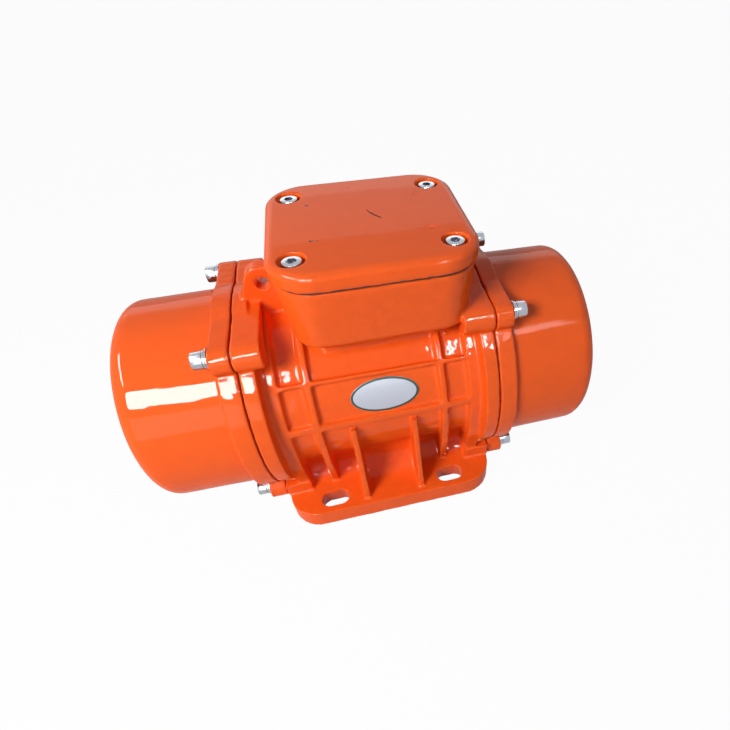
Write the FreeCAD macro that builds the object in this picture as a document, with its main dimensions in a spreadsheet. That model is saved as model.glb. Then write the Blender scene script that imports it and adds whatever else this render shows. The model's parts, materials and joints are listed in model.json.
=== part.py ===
import FreeCAD, Part
import math
import os

import Sketcher
from FreeCAD import Placement, Rotation, Vector

# Vibration motor with a cast housing, an eccentric weight pair at each shaft end, a deep cover
# over each pair and a terminal box on top. Every piece is drawn about the shaft axis (X) and is
# lifted by axis_height at the end, so that the foot stands on z = 0. Pieces that come once at
# each end are drawn for the right end, and the left one is turned half a turn about Z.

SIZES = {
    # housing
    "axis_height": 63,
    "seam_x": 61,
    "barrel_radius": 48,
    "rib_radius": 51,
    "bore_radius": 41,
    "flange_radius": 57.7,
    "flange_thickness": 7.6,
    "step_width": 7,
    "side_draft": 1,
    "register_radius": 50,
    "register_depth": 6,
    "ear_radius": 7,
    "ear_top": 55.7,
    "left_ear_length": 13.5,
    "right_ear_length": 16.5,
    "boss_radius": 7.2,
    "boss_length": 15,
    "boss_block_y": 44.5,
    "boss_block_up": 43.4,
    "cover_screw_y": 35.5,
    "cover_screw_up": 50.3,
    "cover_screw_down": 50.6,
    "thread_depth": 14,
    "floor_thread_depth": 7,
    # ribs
    "ring_rib_x": 32.8,
    "ring_rib_width": 3,
    "ring_rib_foot": 41,
    "ring_rib_waist": 48.5,
    "web_rib_x": 16,
    "web_rib_width": 3.4,
    "web_rib_foot": 58,
    "upper_rib_angle": 36,
    "upper_rib_width": 2.4,
    "ledge_angle": 7.6,
    "ledge_width": 4,
    "web_sweep": 14,
    "foot_sweep": 11,
    # foot
    "foot_length": 119,
    "foot_width": 124.4,
    "foot_thickness": 12.2,
    "foot_corner": 17,
    "foot_edge": 2,
    "foot_relief_width": 56,
    "foot_relief_depth": 1.5,
    "slot_pitch_x": 68,
    "slot_pitch_y": 106,
    "slot_width": 9,
    "slot_length": 15,
    # terminal box and lid
    "box_x": 8.7,
    "box_half_length": 45,
    "box_half_width": 43.7,
    "box_corner": 19,
    "box_top": 80.3,
    "box_bottom": 45.2,
    "box_left_draft": 3,
    "box_right_draft": 4.2,
    "box_side_draft": 3,
    "box_corner_draft": 5.6,
    "box_wall": 5.5,
    "box_floor": 54,
    "neck_inset": 5,
    "gasket_thickness": 1,
    "gasket_inset": 0.6,
    "lid_thickness": 8.1,
    "lid_overhang": 1,
    "lid_edge": 2.5,
    "lid_hollow": 3,
    "lid_screw_x": 34.6,
    "lid_screw_y": 29.4,
    "lid_counterbore_radius": 5.8,
    "lid_counterbore_depth": 5.6,
    "pillar_radius": 6.5,
    "lead_hole_x": 34.5,
    "lead_hole_radius": 4.5,
    # lifting lug
    "lug_x": 44.4,
    "lug_up": 64.4,
    "lug_radius": 8.7,
    "lug_hole_radius": 3,
    "lug_thickness": 8,
    "lug_root_x": 57,
    # weight cover
    "cover_radius": 54,
    "cover_end_x": 117.2,
    "cover_wall": 4,
    "cover_flange_thickness": 9.2,
    "cover_end_edge": 8,
    "cover_draft": 0.5,
    "seal_radius": 53.8,
    "seal_width": 2.4,
    "seal_depth": 1.8,
    # M5 and smaller screws
    "m5_radius": 2.5,
    "m5_hole_radius": 2.75,
    "m5_head_radius": 4.25,
    "m5_head_height": 5,
    "m5_socket": 2.3,
    "m5_washer_radius": 5,
    "washer_thickness": 1,
    "lock_washer_radius": 4.4,
    "lock_washer_thickness": 1.2,
    "cover_screw_length": 24,
    "lid_screw_length": 14,
    "m4_radius": 2,
    "m4_head_radius": 3.5,
    "m4_head_height": 3.4,
    "m3_radius": 1.5,
    "m3_head_radius": 2.7,
    "m3_head_height": 1.8,
    # bearing shield, bearing and cap
    "shield_stand_out": 2,
    "shield_screw_circle": 45.6,
    "shield_screw_length": 8,
    "shield_inner_x": 41,
    "shield_hub_radius": 30,
    "bearing_x": 43,
    "bearing_width": 14,
    "bearing_outer_radius": 23.5,
    "bearing_bore_radius": 10,
    "ball_circle": 16.75,
    "ball_radius": 3.9,
    "ball_count": 8,
    "race_shoulder": 2.85,
    "cap_thickness": 3,
    "cap_radius": 30,
    "cap_screw_circle": 26.8,
    "cap_screw_length": 6,
    # shaft and rotor
    "core_half_length": 28,
    "core_seat_radius": 13,
    "shoulder_radius": 12,
    "weight_seat_radius": 9,
    "weight_x": 66,
    "weight_thickness": 18,
    "disc_thickness": 1,
    "shaft_end_x": 108,
    "shaft_chamfer": 1,
    "ring_groove_depth": 0.8,
    "ring_thickness": 1.2,
    "retaining_ring_radius": 12,
    "sleeve_radius": 12.5,
    "key_width": 5,
    "key_length": 14,
    "key_depth": 3,
    "key_height": 5,
    "rotor_radius": 24.6,
    "air_gap": 0.6,
    "cage_bar_circle": 21.6,
    "cage_bar_radius": 1.8,
    "cage_bar_count": 14,
    "cage_ring_width": 5,
    "slot_count": 18,
    "slot_bottom_radius": 36,
    "slot_mouth_radius": 27,
    "slot_half_width": 2,
    "end_turn_length": 9,
    # eccentric weights
    "weight_radius": 44,
    "weight_spread": 75,
    "hub_radius": 16,
    "hub_rise": 7,
    "clamp_half_width": 15,
    "clamp_top": 21,
    "clamp_slit": 2,
    "clamp_bolt_up": 15.2,
    "disc_radius": 30,
    "running_clearance": 0.05,
    "gap": 0.3,
    # terminal parts and cable gland
    "block_length": 46,
    "block_width": 18,
    "block_height": 9,
    "block_x": 4,
    "stud_pitch_x": 11,
    "stud_pitch_y": 9,
    "stud_height": 9,
    "nut_radius": 3.6,
    "nut_height": 3,
    "earth_screw_y": 22,
    "gland_up": 66,
    "gland_boss_radius": 12,
    "gland_boss_y": 45,
    "gland_thread_radius": 8,
    "gland_hex_radius": 11,
    "gland_hex_height": 5,
    "gland_neck_radius": 9,
    "gland_neck_length": 9,
    "gland_dome_radius": 10.6,
    "gland_dome_length": 11.5,
    "gland_mouth_radius": 4.6,
    "seal_bore_radius": 3.5,
    # rating label
    "label_x": 3,
    "label_angle": 21.6,
    "label_half_length": 17.2,
    "label_half_height": 9.2,
    "label_thickness": 0.35,
}

doc = FreeCAD.newDocument("vibration_motor")
sheet = doc.addObject("Spreadsheet::Sheet", "sizes")
for row, (alias, number) in enumerate(SIZES.items(), start=1):
    sheet.set(f"A{row}", alias)
    sheet.set(f"B{row}", str(number))
    sheet.setAlias(f"B{row}", alias)
doc.recompute()


class Size:
    """A length or angle: its number now, and the sheet formula that keeps it up to date."""

    def __init__(self, number, formula):
        self.number = float(number)
        self.formula = formula

    def __add__(self, other):
        return Size(self.number + number_of(other), f"({self.formula} + {formula_of(other)})")

    def __sub__(self, other):
        return Size(self.number - number_of(other), f"({self.formula} - {formula_of(other)})")

    def __mul__(self, other):
        return Size(self.number * number_of(other), f"({self.formula} * {formula_of(other)})")

    def __truediv__(self, other):
        return Size(self.number / number_of(other), f"({self.formula} / {formula_of(other)})")

    def __rsub__(self, other):
        return Size(number_of(other) - self.number, f"({formula_of(other)} - {self.formula})")

    def __neg__(self):
        return Size(-self.number, f"(0 - {self.formula})")

    __radd__ = __add__
    __rmul__ = __mul__


def number_of(size):
    return size.number if isinstance(size, Size) else float(size)


def formula_of(size):
    return size.formula if isinstance(size, Size) else repr(float(size))


def root(size):
    return Size(math.sqrt(size.number), f"sqrt({size.formula})")


def cosine(angle):
    return Size(math.cos(math.radians(number_of(angle))), f"cos({formula_of(angle)} * 1 deg)")


def sine(angle):
    return Size(math.sin(math.radians(number_of(angle))), f"sin({formula_of(angle)} * 1 deg)")


class Sizes:
    """The sheet's cells as attributes, so that sizes can be added and scaled like numbers."""

    def __init__(self, table):
        for alias, number in table.items():
            setattr(self, alias, Size(number, f"sizes.{alias}"))


S = Sizes(SIZES)


def bind(target, name, size):
    """Drive one property by a formula, or set it where the size is a plain number."""
    if isinstance(size, Size):
        target.setExpression(name, size.formula)
    else:
        setattr(target, name, size)


def turned(angle, radius, side=1):
    """The point (y, z) at an angle above the horizontal, in front (side -1) or behind (1)."""
    return side * radius * cosine(angle), radius * sine(angle)


class Sketch:
    """A closed sketch on one of its body's own planes, with every corner held by formulas."""

    def __init__(self, body, plane, name, offset=None):
        self.item = body.newObject("Sketcher::SketchObject", name)
        origin_plane = next(f for f in body.Origin.OriginFeatures if f.Role == plane)
        self.item.AttachmentSupport = [(origin_plane, "")]
        self.item.MapMode = "FlatFace"
        if offset is not None:
            bind(self.item, "AttachmentOffset.Base.z", offset)

    def drive(self, constraint, size):
        index = self.item.addConstraint(constraint)
        if isinstance(size, Size):
            self.item.setExpression(f"Constraints[{index}]", size.formula)

    def hold(self, edge, end, x, y):
        for kind, size in (("DistanceX", x), ("DistanceY", y)):
            self.drive(Sketcher.Constraint(kind, -1, 1, edge, end, number_of(size)), size)

    def circle(self, x, y, radius):
        centre = Vector(number_of(x), number_of(y), 0)
        edge = self.item.addGeometry(Part.Circle(centre, Vector(0, 0, 1), number_of(radius)))
        self.hold(edge, 3, x, y)
        self.drive(Sketcher.Constraint("Radius", edge, number_of(radius)), radius)

    def outline(self, corners):
        """Close a chain of corners (x, y). A corner (x, y, radius) starts an arc to the next
        corner that turns left round its centre, and a negative radius turns right."""
        ends = []
        for index, corner in enumerate(corners):
            after = corners[(index + 1) % len(corners)]
            start = Vector(number_of(corner[0]), number_of(corner[1]), 0)
            stop = Vector(number_of(after[0]), number_of(after[1]), 0)
            if len(corner) == 2:
                edge = self.item.addGeometry(Part.LineSegment(start, stop))
                ends.append((edge, 1, 2))
            else:
                ends.append(self.arc(start, stop, corner[2]))
        for index, (edge, first, last) in enumerate(ends):
            following, following_first, _ = ends[(index + 1) % len(ends)]
            self.item.addConstraint(
                Sketcher.Constraint("Coincident", edge, last, following, following_first))
            self.hold(edge, first, corners[index][0], corners[index][1])

    def arc(self, start, stop, radius):
        turn = math.copysign(1, number_of(radius))
        size = abs(number_of(radius))
        chord = stop - start
        rise = math.sqrt(size ** 2 - (chord.Length / 2) ** 2)
        sideways = Vector(-chord.y, chord.x, 0).normalize()
        centre = (start + stop) * 0.5 + sideways * rise * turn
        first, last = (start, stop) if turn > 0 else (stop, start)
        angles = [math.atan2(p.y - centre.y, p.x - centre.x) for p in (first, last)]
        if angles[1] < angles[0]:
            angles[1] += 2 * math.pi
        whole = Part.Circle(centre, Vector(0, 0, 1), size)
        edge = self.item.addGeometry(Part.ArcOfCircle(whole, *angles))
        self.drive(Sketcher.Constraint("Radius", edge, size), radius if turn > 0 else -radius)
        return (edge, 1, 2) if turn > 0 else (edge, 2, 1)

    def rounded_rectangle(self, x0, x1, y0, y1, corner):
        self.outline([
            (x0 + corner, y0), (x1 - corner, y0, corner),
            (x1, y0 + corner), (x1, y1 - corner, corner),
            (x1 - corner, y1), (x0 + corner, y1, corner),
            (x0, y1 - corner), (x0, y0 + corner, corner),
        ])


class Piece:
    """A PartDesign body whose features are added one after the other."""

    def __init__(self, label):
        self.body = doc.addObject("PartDesign::Body", label)
        self.body.Label = label

    def sketch(self, plane, name, offset=None):
        return Sketch(self.body, plane, name, offset)

    def feature(self, kind, sketch, name):
        item = self.body.newObject(f"PartDesign::{kind}", name)
        item.Profile = sketch.item
        return item

    def pad(self, sketch, length, name, reverse=False, symmetric=False):
        item = self.feature("Pad", sketch, name)
        bind(item, "Length", length)
        item.Reversed = reverse
        if symmetric:
            item.SideType = "Symmetric"
        return item

    def pocket(self, sketch, length, name, reverse=False, symmetric=False):
        item = self.feature("Pocket", sketch, name)
        bind(item, "Length", length)
        item.Reversed = reverse
        if symmetric:
            item.SideType = "Symmetric"
        return item

    def revolve(self, profile, name, cut=False):
        """Turn a closed (x, radius) profile about the shaft axis."""
        sketch = self.sketch("XY_Plane", f"{name}_profile")
        sketch.outline(profile)
        item = self.feature("Groove" if cut else "Revolution", sketch, name)
        item.ReferenceAxis = (sketch.item, ["H_Axis"])
        item.Angle = 360
        return item

    def pattern(self, feature, count, name):
        """Repeat a feature evenly round the shaft axis."""
        item = self.body.newObject("PartDesign::PolarPattern", name)
        item.Originals = [feature]
        axis = next(f for f in self.body.Origin.OriginFeatures if f.Role == "X_Axis")
        item.Axis = (axis, [""])
        item.Angle = 360
        bind(item, "Occurrences", count)
        self.body.Tip = item
        return item

    def round_edges(self, radius, name, test):
        """Fillet the edges of the present solid that pass a test."""
        doc.recompute()
        base = self.body.Tip
        names = [f"Edge{i}" for i, edge in enumerate(base.Shape.Edges, start=1) if test(edge)]
        item = self.body.newObject("PartDesign::Fillet", name)
        item.Base = (base, names)
        bind(item, "Radius", radius)
        return item


pieces = []


def place(item, label, end=1):
    """Name a finished piece, lift it to the axis height and turn it to its end of the shaft."""
    item.Label = label
    item.Placement = Placement(Vector(0, 0, 0), Rotation(Vector(0, 0, 1), 0 if end > 0 else 180))
    bind(item, "Placement.Base.z", S.axis_height)
    pieces.append(item)


def primitive(kind, name, position, axis=None, **properties):
    """A Part primitive with bound sizes, moved to a position and turned to an axis."""
    item = doc.addObject(f"Part::{kind}", name)
    for key, size in properties.items():
        bind(item, key, size)
    rotation = Rotation(Vector(0, 0, 1), axis) if axis else Rotation()
    item.Placement = Placement(Vector(*(number_of(p) for p in position)), rotation)
    for letter, size in zip("xyz", position):
        if isinstance(size, Size):
            item.setExpression(f"Placement.Base.{letter}", size.formula)
    return item


def fused(name, items):
    item = doc.addObject("Part::MultiFuse", name)
    item.Shapes = items
    return item


def cut(name, base, tool):
    item = doc.addObject("Part::Cut", name)
    item.Base = base
    item.Tool = tool
    return item


def group(name, items):
    """Several separate solids that make up one piece of the parts list."""
    item = doc.addObject("Part::Compound", name)
    item.Links = items
    return item


ALONG_X = Vector(1, 0, 0)
INWARD_X = Vector(-1, 0, 0)
ALONG_Y = Vector(0, 1, 0)
DOWN = Vector(0, 0, -1)


def screw(name, position, axis, head, shank, socket=None):
    """A screw with its head's seat at position; axis points from the seat to the head's top.

    head is (radius, height), shank is (radius, length) and socket is a hexagon's radius.
    """
    back = Vector(-axis.x, -axis.y, -axis.z)
    top = primitive("Cylinder", f"{name}_head", position, axis, Radius=head[0], Height=head[1])
    stem = primitive("Cylinder", f"{name}_shank", position, back, Radius=shank[0], Height=shank[1])
    whole = fused(f"{name}_blank", [top, stem])
    if socket is None:
        return whole
    depth = head[1] / 2
    mouth = [p + depth * a for p, a in zip(position, axis)]
    key_hole = primitive("Prism", f"{name}_socket", mouth, axis,
                         Polygon=6, Circumradius=socket, Height=depth)
    return cut(name, whole, key_hole)


def corner_signs():
    return [(sx, sy) for sx in (-1, 1) for sy in (-1, 1)]


# ---------------------------------------------------------------- shared places
foot_top = S.foot_thickness - S.axis_height
ear_centre_up = S.ear_top - S.ear_radius
flange_back_x = S.seam_x - S.flange_thickness
step_back_x = flange_back_x - S.step_width
seat_x = S.seam_x - S.register_depth
shield_face_x = S.seam_x + S.shield_stand_out
bearing_end_x = S.bearing_x + S.bearing_width
disc_x = S.weight_x + S.weight_thickness
adjustable_x = disc_x + S.disc_thickness + S.running_clearance
ring_x = adjustable_x + S.weight_thickness + S.gap
cover_face_x = S.seam_x + S.cover_flange_thickness
lid_bottom = S.box_top + S.gasket_thickness
lid_top = lid_bottom + S.lid_thickness
box_left = S.box_x - S.box_half_length
box_right = S.box_x + S.box_half_length
lid_corner = S.box_corner + S.lid_overhang
block_screw_reach = S.block_length / 2 - S.m4_radius * 2
key_x = S.weight_x + 2
key_top = S.weight_seat_radius - S.key_depth + S.key_height
seal_radius = S.gland_neck_radius - 1.5
shield_eye = S.bearing_outer_radius - 3.5


def cover_screw_places():
    """The four (y, z) places of the screws round a cover."""
    for side in (-1, 1):
        yield side * S.cover_screw_y, S.cover_screw_up
        yield side * S.cover_screw_y, -S.cover_screw_down


def upper_ears(sketch):
    """The flat-topped band that carries both upper screws, with a round ear at each end."""
    reach = S.cover_screw_y + S.ear_radius * cosine(60)
    under = ear_centre_up - S.ear_radius * sine(60)
    inside = S.flange_radius / 2
    sketch.outline([
        (-S.cover_screw_y, S.ear_top), (S.cover_screw_y, S.ear_top, -S.ear_radius),
        (reach, under), (inside, inside),
        (-inside, inside), (-reach, under, -S.ear_radius),
    ])


def radial_bar(angle, side, inner, outer, half_width):
    """The four corners of a bar that stands out from the axis at an angle."""
    (y0, z0), (y1, z1) = turned(angle, inner, side), turned(angle, outer, side)
    across_y, across_z = side * half_width * sine(angle), half_width * cosine(angle)
    return [(y0 + across_y, z0 - across_z), (y1 + across_y, z1 - across_z),
            (y1 - across_y, z1 + across_z), (y0 - across_y, z0 + across_z)]


def lower_bosses(piece, start, length, name, reverse):
    """The two round bosses of the lower screws, each on a web that runs in to the flange."""
    angle = -math.degrees(math.atan2(SIZES["cover_screw_down"], SIZES["cover_screw_y"]))
    reach = root(S.cover_screw_y * S.cover_screw_y + S.cover_screw_down * S.cover_screw_down)
    for side, word in ((-1, "front"), (1, "back")):
        boss = piece.sketch("YZ_Plane", f"{name}_{word}_boss_sketch", start)
        boss.circle(side * S.cover_screw_y, -S.cover_screw_down, S.boss_radius)
        piece.pad(boss, length, f"{name}_{word}_boss", reverse)
        web = piece.sketch("YZ_Plane", f"{name}_{word}_web_sketch", start)
        web.outline(radial_bar(angle, side, S.barrel_radius * 0.9, reach, S.boss_radius))
        piece.pad(web, length, f"{name}_{word}_web", reverse)


# ---------------------------------------------------------------- housing
def foot(piece):
    """The slotted foot plate."""
    half_x, half_y = S.foot_length / 2, S.foot_width / 2
    plate = piece.sketch("XY_Plane", "foot_sketch", -S.axis_height)
    plate.rounded_rectangle(-half_x, half_x, -half_y, half_y, S.foot_corner)
    piece.pad(plate, S.foot_thickness, "foot")
    top = number_of(foot_top)
    piece.round_edges(S.foot_edge, "foot_edges",
                      lambda edge: abs(edge.BoundBox.ZMin - top) < 0.01)


def barrel(piece):
    """The turned body with its end flanges, step rings and ring ribs."""
    half = S.ring_rib_width / 2
    right = [
        (S.seam_x, S.flange_radius),
        (flange_back_x, S.flange_radius),
        (flange_back_x - S.side_draft, S.rib_radius),
        (step_back_x, S.rib_radius),
        (step_back_x - S.side_draft, S.barrel_radius),
        (S.ring_rib_x + half + S.side_draft, S.barrel_radius),
        (S.ring_rib_x + half, S.rib_radius),
        (S.ring_rib_x - half, S.rib_radius),
        (S.ring_rib_x - half - S.side_draft, S.barrel_radius),
    ]
    left = [(-x, r) for x, r in reversed(right)]
    piece.revolve([(S.seam_x, 0)] + right + left + [(-S.seam_x, 0)], "barrel")


def end_ears(piece):
    """The screw ears at both ends of the casting."""
    for end, word, length in ((-1, "left", S.left_ear_length), (1, "right", S.right_ear_length)):
        start = end * S.seam_x
        ears = piece.sketch("YZ_Plane", f"{word}_ears_sketch", start)
        upper_ears(ears)
        piece.pad(ears, length, f"{word}_ears", reverse=end > 0)
        lower_bosses(piece, start, S.boss_length, word, reverse=end > 0)
        blocks = piece.sketch("YZ_Plane", f"{word}_block_sketch", start)
        for side in (-1, 1):
            near, far = side * S.boss_block_y * 0.6, side * S.boss_block_y
            blocks.outline([(near, foot_top - 1), (far, foot_top - 1),
                            (far, -S.boss_block_up), (near, -S.boss_block_up)])
        piece.pad(blocks, S.boss_length, f"{word}_blocks", reverse=end > 0)


def ribs(piece):
    """The ribs along the barrel, and those that run down from it to the foot."""
    between = (step_back_x + S.step_width / 2) * 2
    for side, word in ((-1, "front"), (1, "back")):
        for name, angle, width in (("rib", S.upper_rib_angle, S.upper_rib_width),
                                   ("ledge", S.ledge_angle, S.ledge_width)):
            bar = piece.sketch("YZ_Plane", f"{word}_{name}_sketch")
            bar.outline(radial_bar(angle, side, S.bore_radius, S.rib_radius, width / 2))
            piece.pad(bar, between, f"{word}_{name}", symmetric=True)
        for sign, end in ((-1, "left"), (1, "right")):
            ring = piece.sketch("YZ_Plane", f"{word}_{end}_ring_leg_sketch", sign * S.ring_rib_x)
            ring.outline([
                (side * S.bore_radius / 2, 0), (side * S.rib_radius, 0),
                (side * S.ring_rib_waist, foot_top / 2),
                (side * S.ring_rib_foot, foot_top), (side * S.bore_radius / 2, foot_top),
            ])
            piece.pad(ring, S.ring_rib_width + S.side_draft, f"{word}_{end}_ring_leg",
                      symmetric=True)
            step = piece.sketch("YZ_Plane", f"{word}_{end}_step_leg_sketch", sign * step_back_x)
            step.outline([
                (side * S.bore_radius / 2, 0), (side * S.rib_radius, 0),
                (side * S.ring_rib_waist, foot_top / 2),
                (side * S.ring_rib_foot, foot_top), (side * S.bore_radius / 2, foot_top),
            ])
            piece.pad(step, S.step_width, f"{word}_{end}_step_leg", reverse=sign < 0)
            web = piece.sketch("YZ_Plane", f"{word}_{end}_web_leg_sketch", sign * S.web_rib_x)
            web.outline([
                (side * S.bore_radius / 2, 0), (side * S.rib_radius, S.ledge_width / 2),
                (side * S.web_rib_foot, foot_top), (side * S.bore_radius / 2, foot_top),
            ])
            piece.pad(web, S.web_rib_width, f"{word}_{end}_web_leg", symmetric=True)
        for name, sweep, reach in (("foot", S.foot_sweep, flange_back_x),
                                   ("web", S.web_sweep, S.web_rib_x)):
            sides = piece.sketch("YZ_Plane", f"{word}_{name}_sweep_sketch")
            sides.outline(sweep_outline(side, sweep))
            piece.pad(sides, reach * 2, f"{word}_{name}_sweep", symmetric=True)


def sweep_outline(side, sweep):
    """The hollow curve that leads from the barrel's side down into the foot."""
    span = S.barrel_radius + sweep
    drop = foot_top + sweep
    out = root(span * span - drop * drop)
    share = S.barrel_radius / span
    return [
        (-side, drop * share), (side * out * share, drop * share, sweep * side),
        (side * out, foot_top), (-side, foot_top),
    ]


def terminal_box(piece):
    """The box on top: a tapered tub with a rounded keel, on a neck that joins the barrel."""
    depth = S.box_top - S.box_bottom
    # (part of the height, share of the draft, extra inset at the keel)
    levels = ((0, 1, 6.5), (0.03, 1, 3.8), (0.08, 1, 2), (0.17, 1, 0), (1, 0, 0))
    sections = []
    for index, (part, share, extra) in enumerate(levels):
        section = piece.sketch("XY_Plane", f"box_section_{index}", S.box_bottom + depth * part)
        across = S.box_half_width - S.box_side_draft * share - extra
        section.rounded_rectangle(
            box_left + S.box_left_draft * share + extra,
            box_right - S.box_right_draft * share - extra,
            -across, across, S.box_corner - S.box_corner_draft * share - extra / 2)
        sections.append(section.item)
    tub = piece.body.newObject("PartDesign::AdditiveLoft", "box")
    tub.Profile = sections[0]
    tub.Sections = sections[1:]
    tub.Ruled = True
    inset = S.neck_inset + 6.5
    neck_y = S.box_half_width - S.box_side_draft - inset
    neck = piece.sketch("XY_Plane", "neck_sketch", S.box_bottom)
    neck.rounded_rectangle(box_left + S.box_left_draft + inset,
                           box_right - S.box_right_draft - inset,
                           -neck_y, neck_y, S.box_corner / 2)
    piece.pad(neck, S.box_bottom / 2, "neck", reverse=True)


def lifting_lug(piece):
    """The half-round eye between the left flange and the box."""
    shoulder_x = S.lug_radius * cosine(10)
    shoulder_up = S.lug_radius * sine(10)
    root_up = S.barrel_radius * 0.9
    plate = piece.sketch("XZ_Plane", "lug_sketch")
    plate.outline([
        (-S.lug_root_x, root_up), (box_left + S.box_left_draft, root_up),
        (box_left + S.box_left_draft, S.lug_up + S.lug_radius),
        (-S.lug_x, S.lug_up + S.lug_radius, S.lug_radius),
        (-S.lug_x - shoulder_x, S.lug_up + shoulder_up),
        (-S.lug_root_x, S.ear_top),
    ])
    piece.pad(plate, S.lug_thickness, "lug", symmetric=True)


def gland_boss(piece):
    """The flat boss on the back of the box that the cable gland screws into."""
    boss = piece.sketch("XZ_Plane", "gland_boss_sketch", -S.gland_boss_y)
    boss.circle(S.box_x, S.gland_up, S.gland_boss_radius)
    piece.pad(boss, S.box_wall * 2, "gland_boss")


def hollow_out(piece):
    """The bore, its registers and the inside of the terminal box."""
    piece.revolve([
        (-S.seam_x, 0), (S.seam_x, 0), (S.seam_x, S.register_radius),
        (seat_x, S.register_radius), (seat_x, S.bore_radius), (-seat_x, S.bore_radius),
        (-seat_x, S.register_radius), (-S.seam_x, S.register_radius),
    ], "bore", cut=True)
    sections = []
    for name, height, share in (("floor", S.box_floor, 0.9), ("rim", S.box_top, 0)):
        section = piece.sketch("XY_Plane", f"cavity_{name}_sketch", height)
        across = S.box_half_width - S.box_wall - S.box_side_draft * share
        section.rounded_rectangle(
            box_left + S.box_wall + S.box_left_draft * share,
            box_right - S.box_wall - S.box_right_draft * share,
            -across, across, S.box_corner - S.box_wall - S.box_corner_draft * share)
        sections.append(section.item)
    cavity = piece.body.newObject("PartDesign::SubtractiveLoft", "box_cavity")
    cavity.Profile = sections[0]
    cavity.Sections = sections[1:]
    cavity.Ruled = True
    pillars = piece.sketch("XY_Plane", "pillar_sketch", S.box_top)
    for sx, sy in corner_signs():
        pillars.circle(S.box_x + sx * S.lid_screw_x, sy * S.lid_screw_y, S.pillar_radius)
    piece.pad(pillars, S.box_top - S.box_floor + 1, "pillars", reverse=True)


def holes(piece):
    """Every drilled or cast hole in the housing."""
    lid_threads = piece.sketch("XY_Plane", "lid_thread_sketch", S.box_top)
    for sx, sy in corner_signs():
        lid_threads.circle(S.box_x + sx * S.lid_screw_x, sy * S.lid_screw_y, S.m5_radius)
    piece.pocket(lid_threads, S.thread_depth, "lid_threads")
    floor_threads = piece.sketch("XY_Plane", "floor_thread_sketch", S.box_floor)
    for side in (-1, 1):
        floor_threads.circle(S.block_x + side * block_screw_reach, 0, S.m4_radius)
    floor_threads.circle(S.block_x, S.earth_screw_y, S.m4_radius)
    piece.pocket(floor_threads, S.floor_thread_depth, "floor_threads")
    lead = piece.sketch("XY_Plane", "lead_hole_sketch", S.box_floor)
    lead.circle(S.lead_hole_x, 0, S.lead_hole_radius)
    piece.pocket(lead, S.box_floor - S.bore_radius + 1, "lead_hole")
    entry = piece.sketch("XZ_Plane", "entry_sketch", -S.gland_boss_y)
    entry.circle(S.box_x, S.gland_up, S.gland_thread_radius)
    piece.pocket(entry, S.box_wall * 2 + 1, "entry", reverse=True)
    eye = piece.sketch("XZ_Plane", "eye_sketch")
    eye.circle(-S.lug_x, S.lug_up, S.lug_hole_radius)
    piece.pocket(eye, S.lug_thickness + 2, "eye", symmetric=True)
    for end, word in ((-1, "left"), (1, "right")):
        threads = piece.sketch("YZ_Plane", f"{word}_cover_thread_sketch", end * S.seam_x)
        for y, up in cover_screw_places():
            threads.circle(y, up, S.m5_radius)
        piece.pocket(threads, S.thread_depth, f"{word}_cover_threads", reverse=end < 0)
        inner = piece.sketch("YZ_Plane", f"{word}_shield_thread_sketch", end * seat_x)
        for side in (-1, 1):
            inner.circle(side * S.shield_screw_circle, 0, S.m4_radius)
            inner.circle(0, side * S.shield_screw_circle, S.m4_radius)
        piece.pocket(inner, S.shield_screw_length, f"{word}_shield_threads", reverse=end < 0)
    straight = (S.slot_length - S.slot_width) / 2
    half = S.slot_width / 2
    slots = piece.sketch("XY_Plane", "slot_sketch", foot_top)
    for sx, sy in corner_signs():
        x, y = sx * S.slot_pitch_x / 2, sy * S.slot_pitch_y / 2
        slots.outline([(x - straight, y - half), (x + straight, y - half),
                       (x + straight, y + half), (x - straight, y + half)])
    piece.pocket(slots, S.foot_thickness, "slots")
    slot_ends = piece.sketch("XY_Plane", "slot_end_sketch", foot_top)
    for sx, sy in corner_signs():
        slot_ends.circle(sx * S.slot_pitch_x / 2 - straight, sy * S.slot_pitch_y / 2, half)
    piece.pocket(slot_ends, S.foot_thickness, "slot_inner_ends")
    slot_ends = piece.sketch("XY_Plane", "slot_outer_end_sketch", foot_top)
    for sx, sy in corner_signs():
        slot_ends.circle(sx * S.slot_pitch_x / 2 + straight, sy * S.slot_pitch_y / 2, half)
    piece.pocket(slot_ends, S.foot_thickness, "slot_outer_ends")
    relief = piece.sketch("YZ_Plane", "relief_sketch")
    edge = S.foot_relief_width / 2
    floor = -S.axis_height
    relief.outline([(-edge, floor), (edge, floor), (edge - 1, floor + S.foot_relief_depth),
                    (1 - edge, floor + S.foot_relief_depth)])
    piece.pocket(relief, S.foot_length, "foot_relief", symmetric=True)


def stator_housing():
    piece = Piece("stator_housing")
    foot(piece)
    barrel(piece)
    end_ears(piece)
    ribs(piece)
    terminal_box(piece)
    lifting_lug(piece)
    gland_boss(piece)
    hollow_out(piece)
    holes(piece)
    place(piece.body, "stator_housing")


# ---------------------------------------------------------------- lid and terminal parts
def lid_places():
    """The four (x, y) places of the lid screws."""
    for sx, sy in corner_signs():
        yield S.box_x + sx * S.lid_screw_x, sy * S.lid_screw_y


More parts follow.
